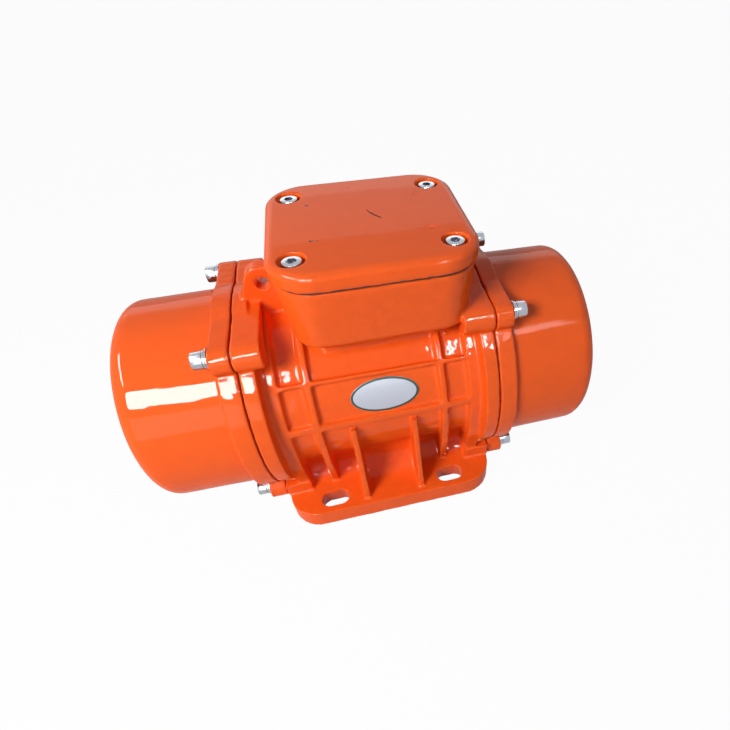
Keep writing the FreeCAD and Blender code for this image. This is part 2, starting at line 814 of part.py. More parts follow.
def terminal_lid():
    piece = Piece("terminal_lid")
    half_x = S.box_half_length + S.lid_overhang
    half_y = S.box_half_width + S.lid_overhang
    plate = piece.sketch("XY_Plane", "lid_sketch", lid_bottom)
    plate.rounded_rectangle(S.box_x - half_x, S.box_x + half_x, -half_y, half_y, lid_corner)
    piece.pad(plate, S.lid_thickness, "lid")
    top = number_of(lid_top)
    piece.round_edges(S.lid_edge, "lid_edges",
                      lambda edge: abs(edge.BoundBox.ZMin - top) < 0.01)
    hollow = piece.sketch("XY_Plane", "lid_hollow_sketch", lid_bottom)
    across, along = S.lid_screw_y - S.pillar_radius * 1.3, S.lid_screw_x
    hollow.rounded_rectangle(S.box_x - along, S.box_x + along, -across, across, S.lid_edge)
    piece.pocket(hollow, S.lid_hollow, "lid_underside", reverse=True)
    seats = piece.sketch("XY_Plane", "lid_seat_sketch", lid_top)
    passages = piece.sketch("XY_Plane", "lid_passage_sketch", lid_top)
    for x, y in lid_places():
        seats.circle(x, y, S.lid_counterbore_radius)
        passages.circle(x, y, S.m5_hole_radius)
    piece.pocket(seats, S.lid_counterbore_depth, "lid_seats")
    piece.pocket(passages, S.lid_thickness, "lid_passages")
    place(piece.body, "terminal_lid")


def lid_gasket():
    piece = Piece("lid_gasket")
    half_x = S.box_half_length - S.gasket_inset
    half_y = S.box_half_width - S.gasket_inset
    ring = piece.sketch("XY_Plane", "gasket_sketch", S.box_top)
    ring.rounded_rectangle(S.box_x - half_x, S.box_x + half_x, -half_y, half_y,
                           S.box_corner - S.gasket_inset)
    piece.pad(ring, S.gasket_thickness, "gasket")
    short_x, short_y = S.lid_screw_x - S.pillar_radius, S.lid_screw_y - S.pillar_radius
    long_x = S.box_half_length - S.box_wall
    long_y = S.box_half_width - S.box_wall
    for name, along, across in (("long", long_x, short_y), ("wide", short_x, long_y)):
        opening = piece.sketch("XY_Plane", f"gasket_{name}_sketch", lid_bottom)
        opening.rounded_rectangle(S.box_x - along, S.box_x + along, -across, across, S.lid_edge)
        piece.pocket(opening, S.gasket_thickness, f"gasket_{name}_opening")
    passages = piece.sketch("XY_Plane", "gasket_passage_sketch", lid_bottom)
    for x, y in lid_places():
        passages.circle(x, y, S.m5_hole_radius)
    piece.pocket(passages, S.gasket_thickness, "gasket_passages")
    place(piece.body, "lid_gasket")


def lid_screws():
    seat = lid_top - S.lid_counterbore_depth
    screws = [screw(f"lid_screw_{n}", (x, y, seat), Vector(0, 0, 1),
                    (S.m5_head_radius, S.m5_head_height), (S.m5_radius, S.lid_screw_length),
                    S.m5_socket)
              for n, (x, y) in enumerate(lid_places())]
    place(group("lid_screws", screws), "lid_screws")


def terminal_parts():
    """The terminal block with its studs and nuts, its two screws and the earth screw."""
    studs, nuts = [], []
    block_top = S.box_floor + S.block_height
    piece = Piece("terminal_block")
    half_x, half_y = S.block_length / 2, S.block_width / 2
    base = piece.sketch("XY_Plane", "block_sketch", S.box_floor)
    base.rounded_rectangle(S.block_x - half_x, S.block_x + half_x, -half_y, half_y,
                           S.lid_edge)
    piece.pad(base, S.block_height, "block")
    wells = piece.sketch("XY_Plane", "stud_well_sketch", block_top)
    for row in (-0.5, 0.5):
        for column in (-1, 0, 1):
            x = S.block_x + column * S.stud_pitch_x
            y = row * S.stud_pitch_y
            wells.circle(x, y, S.m4_radius)
            foot_up = block_top - S.block_height / 2
            studs.append(primitive("Cylinder", "stud", (x, y, foot_up), Radius=S.m4_radius,
                                   Height=S.stud_height + S.block_height / 2))
            hexagon = primitive("Prism", "nut_blank", (x, y, block_top), Polygon=6,
                                Circumradius=S.nut_radius, Height=S.nut_height)
            bore = primitive("Cylinder", "nut_bore", (x, y, block_top), Radius=S.m4_radius,
                             Height=S.nut_height)
            nuts.append(cut("nut", hexagon, bore))
    piece.pocket(wells, S.block_height / 2, "stud_wells")
    passages = piece.sketch("XY_Plane", "block_passage_sketch", block_top)
    for side in (-1, 1):
        passages.circle(S.block_x + side * block_screw_reach, 0, S.m4_radius)
    piece.pocket(passages, S.block_height, "block_passages")
    place(piece.body, "terminal_block")
    place(group("terminal_studs", studs), "terminal_studs")
    place(group("terminal_nuts", nuts), "terminal_nuts")
    head = (S.m4_head_radius, S.m3_head_height)
    up = Vector(0, 0, 1)
    screws = [screw(f"block_screw_{n}", (S.block_x + side * block_screw_reach, 0, block_top), up,
                    head, (S.m4_radius, S.block_height + S.floor_thread_depth))
              for n, side in enumerate((-1, 1))]
    place(group("block_screws", screws), "block_screws")
    earth = screw("earth_screw", (S.block_x, S.earth_screw_y, S.box_floor), up, head,
                  (S.m4_radius, S.floor_thread_depth))
    place(earth, "earth_screw")


def turned_about_gland(piece, profile, name, remove=False):
    """Turn a closed (radius, y) profile about the gland's own axis, which runs along Y."""
    sketch = piece.sketch("XY_Plane", f"{name}_profile", S.gland_up)
    sketch.outline([(S.box_x + r, y) for r, y in profile])
    axis = piece.sketch("XY_Plane", f"{name}_axis", S.gland_up)
    line = axis.item.addGeometry(Part.LineSegment(
        Vector(SIZES["box_x"], 0, 0), Vector(SIZES["box_x"], 10, 0)))
    axis.hold(line, 1, S.box_x, 0)
    axis.hold(line, 2, S.box_x, 10)
    item = piece.feature("Groove" if remove else "Revolution", sketch, name)
    item.ReferenceAxis = (axis.item, ["Edge1"])
    item.Angle = 360


def cable_gland():
    """The gland body in the box's back wall, the rubber seal in it and the nut over both."""
    face = S.gland_boss_y
    shelf = face + S.gland_hex_height
    neck_end = shelf + S.gland_neck_length
    inner_end = face - S.box_wall * 1.7
    body = Piece("gland_body")
    hexagon = body.sketch("XZ_Plane", "gland_hexagon_sketch", -face)
    hexagon.outline([(S.box_x + S.gland_hex_radius * cosine(60 * k),
                      S.gland_up + S.gland_hex_radius * sine(60 * k)) for k in range(6)])
    body.pad(hexagon, S.gland_hex_height, "gland_hexagon", reverse=True)
    turned_about_gland(body, [
        (0, inner_end), (S.gland_thread_radius, inner_end), (S.gland_thread_radius, face + 1),
        (S.gland_neck_radius, face + 1), (S.gland_neck_radius, neck_end), (0, neck_end),
    ], "gland_stem")
    seat = shelf
    turned_about_gland(body, [
        (0, inner_end), (S.gland_mouth_radius, inner_end), (S.gland_mouth_radius, seat),
        (seal_radius, seat + 1), (seal_radius, neck_end), (0, neck_end),
    ], "gland_bore", remove=True)
    place(body.body, "gland_body")
    seal = Piece("gland_seal")
    turned_about_gland(seal, [
        (S.seal_bore_radius, seat + 1), (seal_radius, seat + 1), (seal_radius, neck_end),
        (S.seal_bore_radius, neck_end),
    ], "seal")
    place(seal.body, "gland_seal")
    nut = Piece("gland_nut")
    back = shelf + S.gap
    grip = nut.sketch("XZ_Plane", "nut_hexagon_sketch", -back)
    grip.outline([(S.box_x + S.gland_hex_radius * cosine(60 * k),
                   S.gland_up + S.gland_hex_radius * sine(60 * k)) for k in range(6)])
    nut.pad(grip, S.gland_dome_length / 2, "nut_hexagon", reverse=True)
    turned_about_gland(nut, [
        (0, back), (S.gland_dome_radius, back),
        (S.gland_dome_radius, back + S.gland_dome_length * 0.6),
        (S.seal_bore_radius * 2, back + S.gland_dome_length), (0, back + S.gland_dome_length),
    ], "nut_dome")
    turned_about_gland(nut, [
        (0, back), (S.gland_neck_radius, back), (S.gland_neck_radius, neck_end),
        (S.gland_mouth_radius, neck_end), (S.gland_mouth_radius, back + S.gland_dome_length),
        (0, back + S.gland_dome_length),
    ], "nut_bore", remove=True)
    place(nut.body, "gland_nut")


def rating_label():
    """A thin oval plate that follows the front of the barrel."""
    half = S.label_half_length
    start = (S.label_x - half, 0, 0)
    outer = primitive("Cylinder", "label_outer", start, ALONG_X,
                      Radius=S.barrel_radius + S.label_thickness, Height=half * 2)
    inner = primitive("Cylinder", "label_inner", start, ALONG_X,
                      Radius=S.barrel_radius + S.running_clearance, Height=half * 2)
    oval = doc.addObject("Part::Ellipse", "label_oval")
    bind(oval, "MajorRadius", half)
    bind(oval, "MinorRadius", S.label_half_height)
    oval.Placement = Placement(Vector(0, 0, 0), Rotation(ALONG_X, 90 - SIZES["label_angle"]))
    bind(oval, "Placement.Base.x", S.label_x)
    bind(oval, "Placement.Rotation.Angle", 90 - S.label_angle)
    prism = doc.addObject("Part::Extrusion", "label_prism")
    prism.Base = oval
    prism.DirMode = "Custom"
    prism.Dir = Vector(0, *(number_of(p) for p in turned(S.label_angle, 1, -1)))
    prism.Solid = True
    bind(prism, "LengthFwd", S.rib_radius)
    plate = doc.addObject("Part::MultiCommon", "label_plate")
    plate.Shapes = [cut("label_shell", outer, inner), prism]
    place(plate, "rating_label")


# ---------------------------------------------------------------- stator and rotor
def ring(sketch, x0, x1, inner, outer):
    """One rectangle of a (x, radius) profile."""
    sketch.outline([(x0, inner), (x1, inner), (x1, outer), (x0, outer)])


def stator():
    """The lamination stack pressed into the barrel, and the winding in its slots."""
    half = S.core_half_length - 1
    mouth = S.rotor_radius + S.air_gap
    core = Piece("stator_core")
    core.revolve([(-half, mouth), (half, mouth), (half, S.bore_radius), (-half, S.bore_radius)],
                 "stack")
    slot = core.sketch("YZ_Plane", "slot_sketch")
    w = S.slot_half_width
    slot.outline([
        (-w / 2, S.slot_mouth_radius - 3), (w / 2, S.slot_mouth_radius - 3),
        (w / 2, S.slot_mouth_radius), (w, S.slot_mouth_radius + 1), (w * 1.3, S.slot_bottom_radius),
        (w * -1.3, S.slot_bottom_radius), (-w, S.slot_mouth_radius + 1),
        (-w / 2, S.slot_mouth_radius),
    ])
    opening = core.pocket(slot, half * 2, "slot", symmetric=True)
    core.pattern(opening, S.slot_count, "slots")
    place(core.body, "stator_core")
    winding = Piece("stator_winding")
    coils = winding.sketch("XY_Plane", "end_turn_profile")
    for end in (-1, 1):
        ring(coils, end * (half + 1), end * (half + S.end_turn_length),
             S.slot_mouth_radius, S.slot_bottom_radius + 1)
    turns = winding.feature("Revolution", coils, "end_turns")
    turns.ReferenceAxis = (coils.item, ["H_Axis"])
    turns.Angle = 360
    bar = winding.sketch("YZ_Plane", "coil_side_sketch")
    bar.outline([(-w, S.slot_mouth_radius + 1), (w, S.slot_mouth_radius + 1),
                 (w * 1.25, S.slot_bottom_radius - 0.2), (w * -1.25, S.slot_bottom_radius - 0.2)])
    side = winding.pad(bar, (half + 3) * 2, "coil_side", symmetric=True)
    winding.pattern(side, S.slot_count, "coil_sides")
    place(winding.body, "stator_winding")


def rotor():
    """The rotor stack with its cast cage of bars and end rings."""
    core = Piece("rotor_core")
    half = S.core_half_length
    core.revolve([(-half, S.core_seat_radius), (half, S.core_seat_radius),
                  (half, S.rotor_radius), (-half, S.rotor_radius)], "rotor_stack")
    holes_sketch = core.sketch("YZ_Plane", "bar_hole_sketch")
    holes_sketch.circle(0, S.cage_bar_circle, S.cage_bar_radius)
    hole = core.pocket(holes_sketch, half * 2, "bar_hole", symmetric=True)
    core.pattern(hole, S.cage_bar_count, "bar_holes")
    place(core.body, "rotor_core")
    cage = Piece("rotor_cage")
    rings = cage.sketch("XY_Plane", "end_ring_profile")
    for end in (-1, 1):
        ring(rings, end * half, end * (half + S.cage_ring_width),
             S.cage_bar_circle - S.cage_bar_radius * 2, S.rotor_radius)
    cast = cage.feature("Revolution", rings, "end_rings")
    cast.ReferenceAxis = (rings.item, ["H_Axis"])
    cast.Angle = 360
    bar_sketch = cage.sketch("YZ_Plane", "bar_sketch")
    bar_sketch.circle(0, S.cage_bar_circle, S.cage_bar_radius)
    bar = cage.pad(bar_sketch, (half + S.cage_ring_width / 2) * 2, "bar", symmetric=True)
    cage.pattern(bar, S.cage_bar_count, "bars")
    place(cage.body, "rotor_cage")


def shaft():
    piece = Piece("shaft")
    groove = S.weight_seat_radius - S.ring_groove_depth
    tip = S.shaft_end_x - S.shaft_chamfer
    right = [
        (S.core_half_length, S.core_seat_radius), (S.core_half_length, S.shoulder_radius),
        (S.bearing_x, S.shoulder_radius), (S.bearing_x, S.bearing_bore_radius),
        (S.weight_x, S.bearing_bore_radius), (S.weight_x, S.weight_seat_radius),
        (ring_x, S.weight_seat_radius), (ring_x, groove),
        (ring_x + S.ring_thickness, groove), (ring_x + S.ring_thickness, S.weight_seat_radius),
        (tip, S.weight_seat_radius), (S.shaft_end_x, S.weight_seat_radius - S.shaft_chamfer),
        (S.shaft_end_x, 0),
    ]
    left = [(-x, r) for x, r in reversed(right)]
    piece.revolve(left + right, "shaft")
    seats = piece.sketch("XY_Plane", "keyway_sketch", S.weight_seat_radius + 1)
    half = S.key_width / 2
    for end in (-1, 1):
        seats.outline([(end * x, end * y) for x, y in (
            (key_x, -half), (key_x + S.key_length, -half),
            (key_x + S.key_length, half), (key_x, half))])
    piece.pocket(seats, S.key_depth + 1, "keyways")
    place(piece.body, "shaft")


# ---------------------------------------------------------------- pieces at each shaft end
def weight_cover(end, word):
    piece = Piece(f"{word}_weight_cover")
    outside = S.cover_radius
    bore = S.register_radius
    inner_end = S.cover_end_x - S.cover_wall
    far = outside - S.cover_draft
    inner_edge = S.cover_end_edge - S.cover_wall
    fillet = S.lid_edge * 0.6
    piece.revolve([
        (S.seam_x, 0), (S.seam_x, S.flange_radius), (cover_face_x, S.flange_radius),
        (cover_face_x, outside + fillet), (cover_face_x + fillet, outside),
        (S.cover_end_x - S.cover_end_edge, far, -S.cover_end_edge),
        (S.cover_end_x, far - S.cover_end_edge), (S.cover_end_x, 0),
    ], "cup")
    ears = piece.sketch("YZ_Plane", "cover_ears_sketch", S.seam_x)
    upper_ears(ears)
    piece.pad(ears, S.cover_flange_thickness, "cover_ears")
    lower_bosses(piece, S.seam_x, S.cover_flange_thickness, "cover", reverse=False)
    piece.revolve([
        (S.seam_x, 0), (inner_end, 0), (inner_end, bore - inner_edge, inner_edge),
        (inner_end - inner_edge, bore), (S.seam_x, bore),
    ], "inside", cut=True)
    half = S.seal_width / 2
    depth = S.seam_x + S.seal_depth
    piece.revolve([(S.seam_x, S.seal_radius - half), (depth, S.seal_radius - half),
                   (depth, S.seal_radius + half), (S.seam_x, S.seal_radius + half)],
                  "seal_groove", cut=True)
    passages = piece.sketch("YZ_Plane", "cover_passage_sketch", S.seam_x)
    for y, up in cover_screw_places():
        passages.circle(y, up, S.m5_hole_radius)
    piece.pocket(passages, S.cover_flange_thickness, "cover_passages", reverse=True)
    place(piece.body, f"{word}_weight_cover", end)


def cover_seal(end, word):
    piece = Piece(f"{word}_cover_seal")
    half = S.seal_width / 2 - S.running_clearance
    depth = S.seam_x + S.seal_depth
    piece.revolve([(S.seam_x, S.seal_radius - half), (depth, S.seal_radius - half),
                   (depth, S.seal_radius + half), (S.seam_x, S.seal_radius + half)], "seal_ring")
    place(piece.body, f"{word}_cover_seal", end)


def washer(name, start, y, up, radius, thickness):
    disc = primitive("Cylinder", f"{name}_disc", (start, y, up), ALONG_X,
                     Radius=radius, Height=thickness)
    hole = primitive("Cylinder", f"{name}_hole", (start, y, up), ALONG_X,
                     Radius=S.m5_hole_radius, Height=thickness)
    return cut(name, disc, hole)


def cover_fasteners(end, word):
    """Four screws, each with a plain and a lock washer, that hold a cover."""
    lock_x = cover_face_x + S.washer_thickness
    seat = lock_x + S.lock_washer_thickness
    plain, lock, screws = [], [], []
    for n, (y, up) in enumerate(cover_screw_places()):
        plain.append(washer(f"{word}_washer_{n}", cover_face_x, y, up, S.m5_washer_radius,
                            S.washer_thickness))
        lock.append(washer(f"{word}_lock_washer_{n}", lock_x, y, up, S.lock_washer_radius,
                           S.lock_washer_thickness))
        screws.append(screw(f"{word}_cover_screw_{n}", (seat, y, up), ALONG_X,
                            (S.m5_head_radius, S.m5_head_height),
                            (S.m5_radius, S.cover_screw_length), S.m5_socket))
    place(group(f"{word}_cover_washers", plain), f"{word}_cover_washers", end)
    place(group(f"{word}_lock_washers", lock), f"{word}_lock_washers", end)
    place(group(f"{word}_cover_screws", screws), f"{word}_cover_screws", end)


def bearing_shield(end, word):
    """The shield that centres the bearing, held in the register by four screws."""
    piece = Piece(f"{word}_bearing_shield")
    web_x = bearing_end_x - S.register_depth
    inside = S.bore_radius - S.running_clearance
    outside = S.register_radius - S.running_clearance
    piece.revolve([
        (S.shield_inner_x, shield_eye), (S.shield_inner_x, S.shield_hub_radius),
        (web_x, S.shield_hub_radius), (web_x, inside), (seat_x, inside), (seat_x, outside),
        (shield_face_x, outside), (shield_face_x, S.bore_radius - 1),
        (bearing_end_x, S.bore_radius - 1), (bearing_end_x, S.bearing_outer_radius),
        (S.bearing_x, S.bearing_outer_radius), (S.bearing_x, shield_eye),
    ], "shield")
    seats = piece.sketch("YZ_Plane", "shield_seat_sketch", shield_face_x)
    passages = piece.sketch("YZ_Plane", "shield_passage_sketch", shield_face_x)
    for y, up in shield_screw_places():
        seats.circle(y, up, S.m4_head_radius + S.gap)
        passages.circle(y, up, S.m4_radius)
    piece.pocket(seats, S.m4_head_height, "shield_seats")
    piece.pocket(passages, shield_face_x - seat_x, "shield_passages")
    threads = piece.sketch("YZ_Plane", "cap_thread_sketch", bearing_end_x)
    for y, up in cap_screw_places():
        threads.circle(y, up, S.m3_radius)
    piece.pocket(threads, S.cap_screw_length, "cap_threads")
    place(piece.body, f"{word}_bearing_shield", end)


def shield_screw_places():
    """The four (y, z) places of the screws through a bearing shield."""
    for side in (-1, 1):
        yield side * S.shield_screw_circle, 0
        yield 0, side * S.shield_screw_circle


def cap_screw_places():
    """The four (y, z) places of the screws through a bearing cap."""
    for sy, sz in corner_signs():
        yield sy * S.cap_screw_circle * cosine(45), sz * S.cap_screw_circle * cosine(45)


def shield_and_cap_screws(end, word):
    seat = shield_face_x - S.m4_head_height
    heads = [screw(f"{word}_shield_screw_{n}", (seat, y, up), ALONG_X,
                   (S.m4_head_radius, S.m4_head_height),
                   (S.m4_radius, seat - seat_x + S.shield_screw_length))
             for n, (y, up) in enumerate(shield_screw_places())]
    place(group(f"{word}_shield_screws", heads), f"{word}_shield_screws", end)
    cap_face = bearing_end_x + S.cap_thickness
    caps = [screw(f"{word}_cap_screw_{n}", (cap_face, y, up), ALONG_X,
                  (S.m3_head_radius, S.m3_head_height),
                  (S.m3_radius, S.cap_thickness + S.cap_screw_length))
            for n, (y, up) in enumerate(cap_screw_places())]
    place(group(f"{word}_cap_screws", caps), f"{word}_cap_screws", end)


def bearing_cap(end, word):
    piece = Piece(f"{word}_bearing_cap")
    inner = S.sleeve_radius + S.gap
    face = bearing_end_x + S.cap_thickness
    piece.revolve([(bearing_end_x, inner), (face, inner), (face, S.cap_radius),
                   (bearing_end_x, S.cap_radius)], "cap")
    passages = piece.sketch("YZ_Plane", "cap_passage_sketch", face)
    for y, up in cap_screw_places():
        passages.circle(y, up, S.m3_radius)
    piece.pocket(passages, S.cap_thickness, "cap_passages")
    place(piece.body, f"{word}_bearing_cap", end)


def bearing(end, word):
    """A deep-groove ball bearing: two rings with ball tracks, eight balls and their cage."""
    middle = S.bearing_x + S.bearing_width / 2
    track = S.ball_radius + S.gap
    half = root(track * track - S.race_shoulder * S.race_shoulder)
    high = S.ball_circle + S.race_shoulder
    low = S.ball_circle - S.race_shoulder
    outer = Piece(f"{word}_bearing_outer_ring")
    outer.revolve([
        (S.bearing_x, S.bearing_outer_radius), (S.bearing_x, high),
        (middle - half, high, -track), (middle + half, high),
        (bearing_end_x, high), (bearing_end_x, S.bearing_outer_radius),
    ], "outer_ring")
    place(outer.body, f"{word}_bearing_outer_ring", end)
    inner = Piece(f"{word}_bearing_inner_ring")
    inner.revolve([
        (S.bearing_x, S.bearing_bore_radius), (bearing_end_x, S.bearing_bore_radius),
        (bearing_end_x, low), (middle + half, low, -track), (middle - half, low),
        (S.bearing_x, low),
    ], "inner_ring")
    place(inner.body, f"{word}_bearing_inner_ring", end)
    count = SIZES["ball_count"]
    balls = []
    for n in range(count):
        y, up = turned(90 + 360 / count * n, S.ball_circle)
        balls.append(primitive("Sphere", f"{word}_ball_{n}", (middle, y, up),
                               Radius=S.ball_radius))
    place(group(f"{word}_bearing_balls", balls), f"{word}_bearing_balls", end)
    cage = Piece(f"{word}_bearing_cage")
    width = S.ball_radius + 1
    cage.revolve([(middle - width, S.ball_circle - 1), (middle + width, S.ball_circle - 1),
                  (middle + width, S.ball_circle + 1), (middle - width, S.ball_circle + 1)],
                 "cage_ring")
    pocket_sketch = cage.sketch("XY_Plane", "ball_pocket_sketch")
    pocket_sketch.circle(middle, 0, S.ball_radius + S.running_clearance)
    opening = cage.pocket(pocket_sketch, S.bearing_outer_radius, "ball_pocket", reverse=True)
    cage.pattern(opening, S.ball_count, "ball_pockets")
    place(cage.body, f"{word}_bearing_cage", end)


def shaft_sleeve(end, word):
    piece = Piece(f"{word}_shaft_sleeve")
    piece.revolve([(bearing_end_x, S.bearing_bore_radius), (S.weight_x, S.bearing_bore_radius),
                   (S.weight_x, S.sleeve_radius), (bearing_end_x, S.sleeve_radius)], "sleeve")
    place(piece.body, f"{word}_shaft_sleeve", end)


def weight_outline(top):
    """Half-moon weight that hangs down from a hub, whose top is a list of corners."""
    reach = S.weight_radius * sine(S.weight_spread)
    drop = S.weight_radius * cosine(S.weight_spread)
    return [(-reach, -drop, S.weight_radius), (reach, -drop)] + top


def fixed_weight(end, word):
    piece = Piece(f"{word}_fixed_weight")
    side, rise = S.hub_radius * cosine(10), S.hub_radius * sine(10)
    shape = piece.sketch("YZ_Plane", "fixed_weight_sketch", S.weight_x)
    shape.outline(weight_outline([(side, rise, S.hub_radius), (-side, rise)]))
    piece.pad(shape, S.weight_thickness, "fixed_weight")
    bore = piece.sketch("YZ_Plane", "fixed_bore_sketch", S.weight_x)
    bore.circle(0, 0, S.weight_seat_radius)
    piece.pocket(bore, S.weight_thickness, "fixed_bore", reverse=True)
    keyway = piece.sketch("YZ_Plane", "fixed_keyway_sketch", S.weight_x)
    half = S.key_width / 2
    keyway.outline([(-half, 0), (half, 0), (half, key_top), (-half, key_top)])
    piece.pocket(keyway, S.weight_thickness, "fixed_keyway", reverse=True)
    place(piece.body, f"{word}_fixed_weight", end)
    key = primitive("Box", f"{word}_key_block", (key_x, -half, key_top - S.key_height),
                    Length=S.key_length, Width=S.key_width, Height=S.key_height)
    place(group(f"{word}_weight_key", [key]), f"{word}_weight_key", end)


def setting_disc(end, word):
    """The scale disc between the two weights."""
    piece = Piece(f"{word}_setting_disc")
    piece.revolve([(disc_x, S.weight_seat_radius), (disc_x + S.disc_thickness,
                   S.weight_seat_radius), (disc_x + S.disc_thickness, S.disc_radius),
                   (disc_x, S.disc_radius)], "disc")
    place(piece.body, f"{word}_setting_disc", end)


def adjustable_weight(end, word):
    """The weight that is turned on the shaft, with a split hub and its clamp bolt."""
    piece = Piece(f"{word}_adjustable_weight")
    half = S.clamp_half_width
    shape = piece.sketch("YZ_Plane", "adjustable_weight_sketch", adjustable_x)
    shape.outline(weight_outline([(half, 0), (half, S.clamp_top), (-half, S.clamp_top),
                                  (-half, 0)]))
    piece.pad(shape, S.weight_thickness, "adjustable_weight")
    bore = piece.sketch("YZ_Plane", "adjustable_bore_sketch", adjustable_x)
    bore.circle(0, 0, S.weight_seat_radius + S.running_clearance)
    piece.pocket(bore, S.weight_thickness, "adjustable_bore", reverse=True)
    slit = piece.sketch("YZ_Plane", "slit_sketch", adjustable_x)
    slit.outline([(S.clamp_slit / -2, 0), (S.clamp_slit / 2, 0),
                  (S.clamp_slit / 2, S.clamp_top), (S.clamp_slit / -2, S.clamp_top)])
    piece.pocket(slit, S.weight_thickness, "slit", reverse=True)
    bolt_x = adjustable_x + S.weight_thickness / 2
    hole = piece.sketch("XZ_Plane", "clamp_hole_sketch")
    hole.circle(bolt_x, S.clamp_bolt_up, S.m5_radius)
    piece.pocket(hole, half * 2, "clamp_hole", symmetric=True)
    place(piece.body, f"{word}_adjustable_weight", end)
    bolt = screw(f"{word}_bolt", (bolt_x, half, S.clamp_bolt_up), ALONG_Y,
                 (S.m5_head_radius, S.m5_head_height), (S.m5_radius, half * 2), S.m5_socket)
    place(bolt, f"{word}_clamp_bolt", end)


def retaining_ring(end, word):
    piece = Piece(f"{word}_retaining_ring")
    inner = S.weight_seat_radius - S.ring_groove_depth
    stop = ring_x + S.ring_thickness
    piece.revolve([(ring_x, inner), (stop, inner), (stop, S.retaining_ring_radius),
                   (ring_x, S.retaining_ring_radius)], "snap_ring")
    mouth = piece.sketch("YZ_Plane", "ring_mouth_sketch", ring_x)
    half = S.key_width / 2
    mouth.outline([(-half, 0), (half, 0), (half, S.retaining_ring_radius + 1),
                   (-half, S.retaining_ring_radius + 1)])
    piece.pocket(mouth, S.ring_thickness, "ring_mouth", reverse=True)
    place(piece.body, f"{word}_retaining_ring", end)


stator_housing()
terminal_lid()
lid_gasket()
lid_screws()
terminal_parts()
cable_gland()
rating_label()
stator()
rotor()
shaft()
for end, word in ((-1, "left"), (1, "right")):
    weight_cover(end, word)
    cover_seal(end, word)
    cover_fasteners(end, word)
    bearing_shield(end, word)
    shield_and_cap_screws(end, word)
    bearing(end, word)
    bearing_cap(end, word)
    shaft_sleeve(end, word)
    fixed_weight(end, word)
    setting_disc(end, word)
    adjustable_weight(end, word)
    retaining_ring(end, word)
doc.recompute()


def check_and_export():
    """Stop on any failed object or bad solid, then write one file for each piece."""
    failed = [item.Name for item in doc.Objects
              if "Invalid" in item.State or "Error" in item.State]
    if failed:
        raise RuntimeError(f"failed objects: {failed}")
    os.makedirs("parts", exist_ok=True)
    for item in pieces:
        if item.Shape.isNull() or not item.Shape.isValid():
            raise RuntimeError(f"bad shape: {item.Label}")
        item.Shape.exportStep(os.path.join("parts", f"{item.Label}.step"))


check_and_export()
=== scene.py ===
"""Looks of an external vibration motor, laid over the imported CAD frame.

The castings are built again here from fine pieces that are melted together, so that they have
the soft inside and outside corners of a real casting. Sealed inner parts keep their CAD meshes
and only get a finish.
"""

from __future__ import annotations

import json
import logging
import math
from dataclasses import dataclass
from enum import Enum
from typing import Callable, Iterable, Sequence

import bmesh
import bpy
from mathutils import Matrix, Vector, noise

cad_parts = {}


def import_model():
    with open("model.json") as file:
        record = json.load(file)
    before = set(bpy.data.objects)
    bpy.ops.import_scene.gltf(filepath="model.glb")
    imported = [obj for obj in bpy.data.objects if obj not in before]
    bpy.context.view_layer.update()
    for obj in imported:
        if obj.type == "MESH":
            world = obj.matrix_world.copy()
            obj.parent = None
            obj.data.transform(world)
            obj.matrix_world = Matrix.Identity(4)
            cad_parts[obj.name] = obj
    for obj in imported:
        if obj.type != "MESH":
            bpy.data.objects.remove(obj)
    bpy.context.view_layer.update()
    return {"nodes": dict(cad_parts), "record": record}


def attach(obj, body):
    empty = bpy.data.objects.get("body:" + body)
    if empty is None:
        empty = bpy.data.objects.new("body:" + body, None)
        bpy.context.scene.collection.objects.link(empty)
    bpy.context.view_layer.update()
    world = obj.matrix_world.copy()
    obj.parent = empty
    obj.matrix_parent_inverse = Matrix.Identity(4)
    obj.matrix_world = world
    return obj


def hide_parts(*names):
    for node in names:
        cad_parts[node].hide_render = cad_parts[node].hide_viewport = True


log = logging.getLogger("vibration_motor")

MM = 0.001
AXIS_HEIGHT = 63.0
ROOT_BODY = "motor_housing"

Flat = tuple[float, float]


# ---------------------------------------------------------------------------- finishes
def linear(hex_colour: str) -> tuple[float, float, float, float]:
    """Turn an sRGB colour such as "#e0561f" into linear RGBA.

    Args:
        hex_colour: Six hexadecimal digits with or without the leading mark.

    Returns:
        Linear red, green and blue, and an alpha of 1.
    """
    digits = hex_colour.lstrip("#")
    channels = [int(digits[i:i + 2], 16) / 255 for i in (0, 2, 4)]
    red, green, blue = (c / 12.92 if c <= 0.04045 else ((c + 0.055) / 1.055) ** 2.4
                        for c in channels)
    return red, green, blue, 1.0


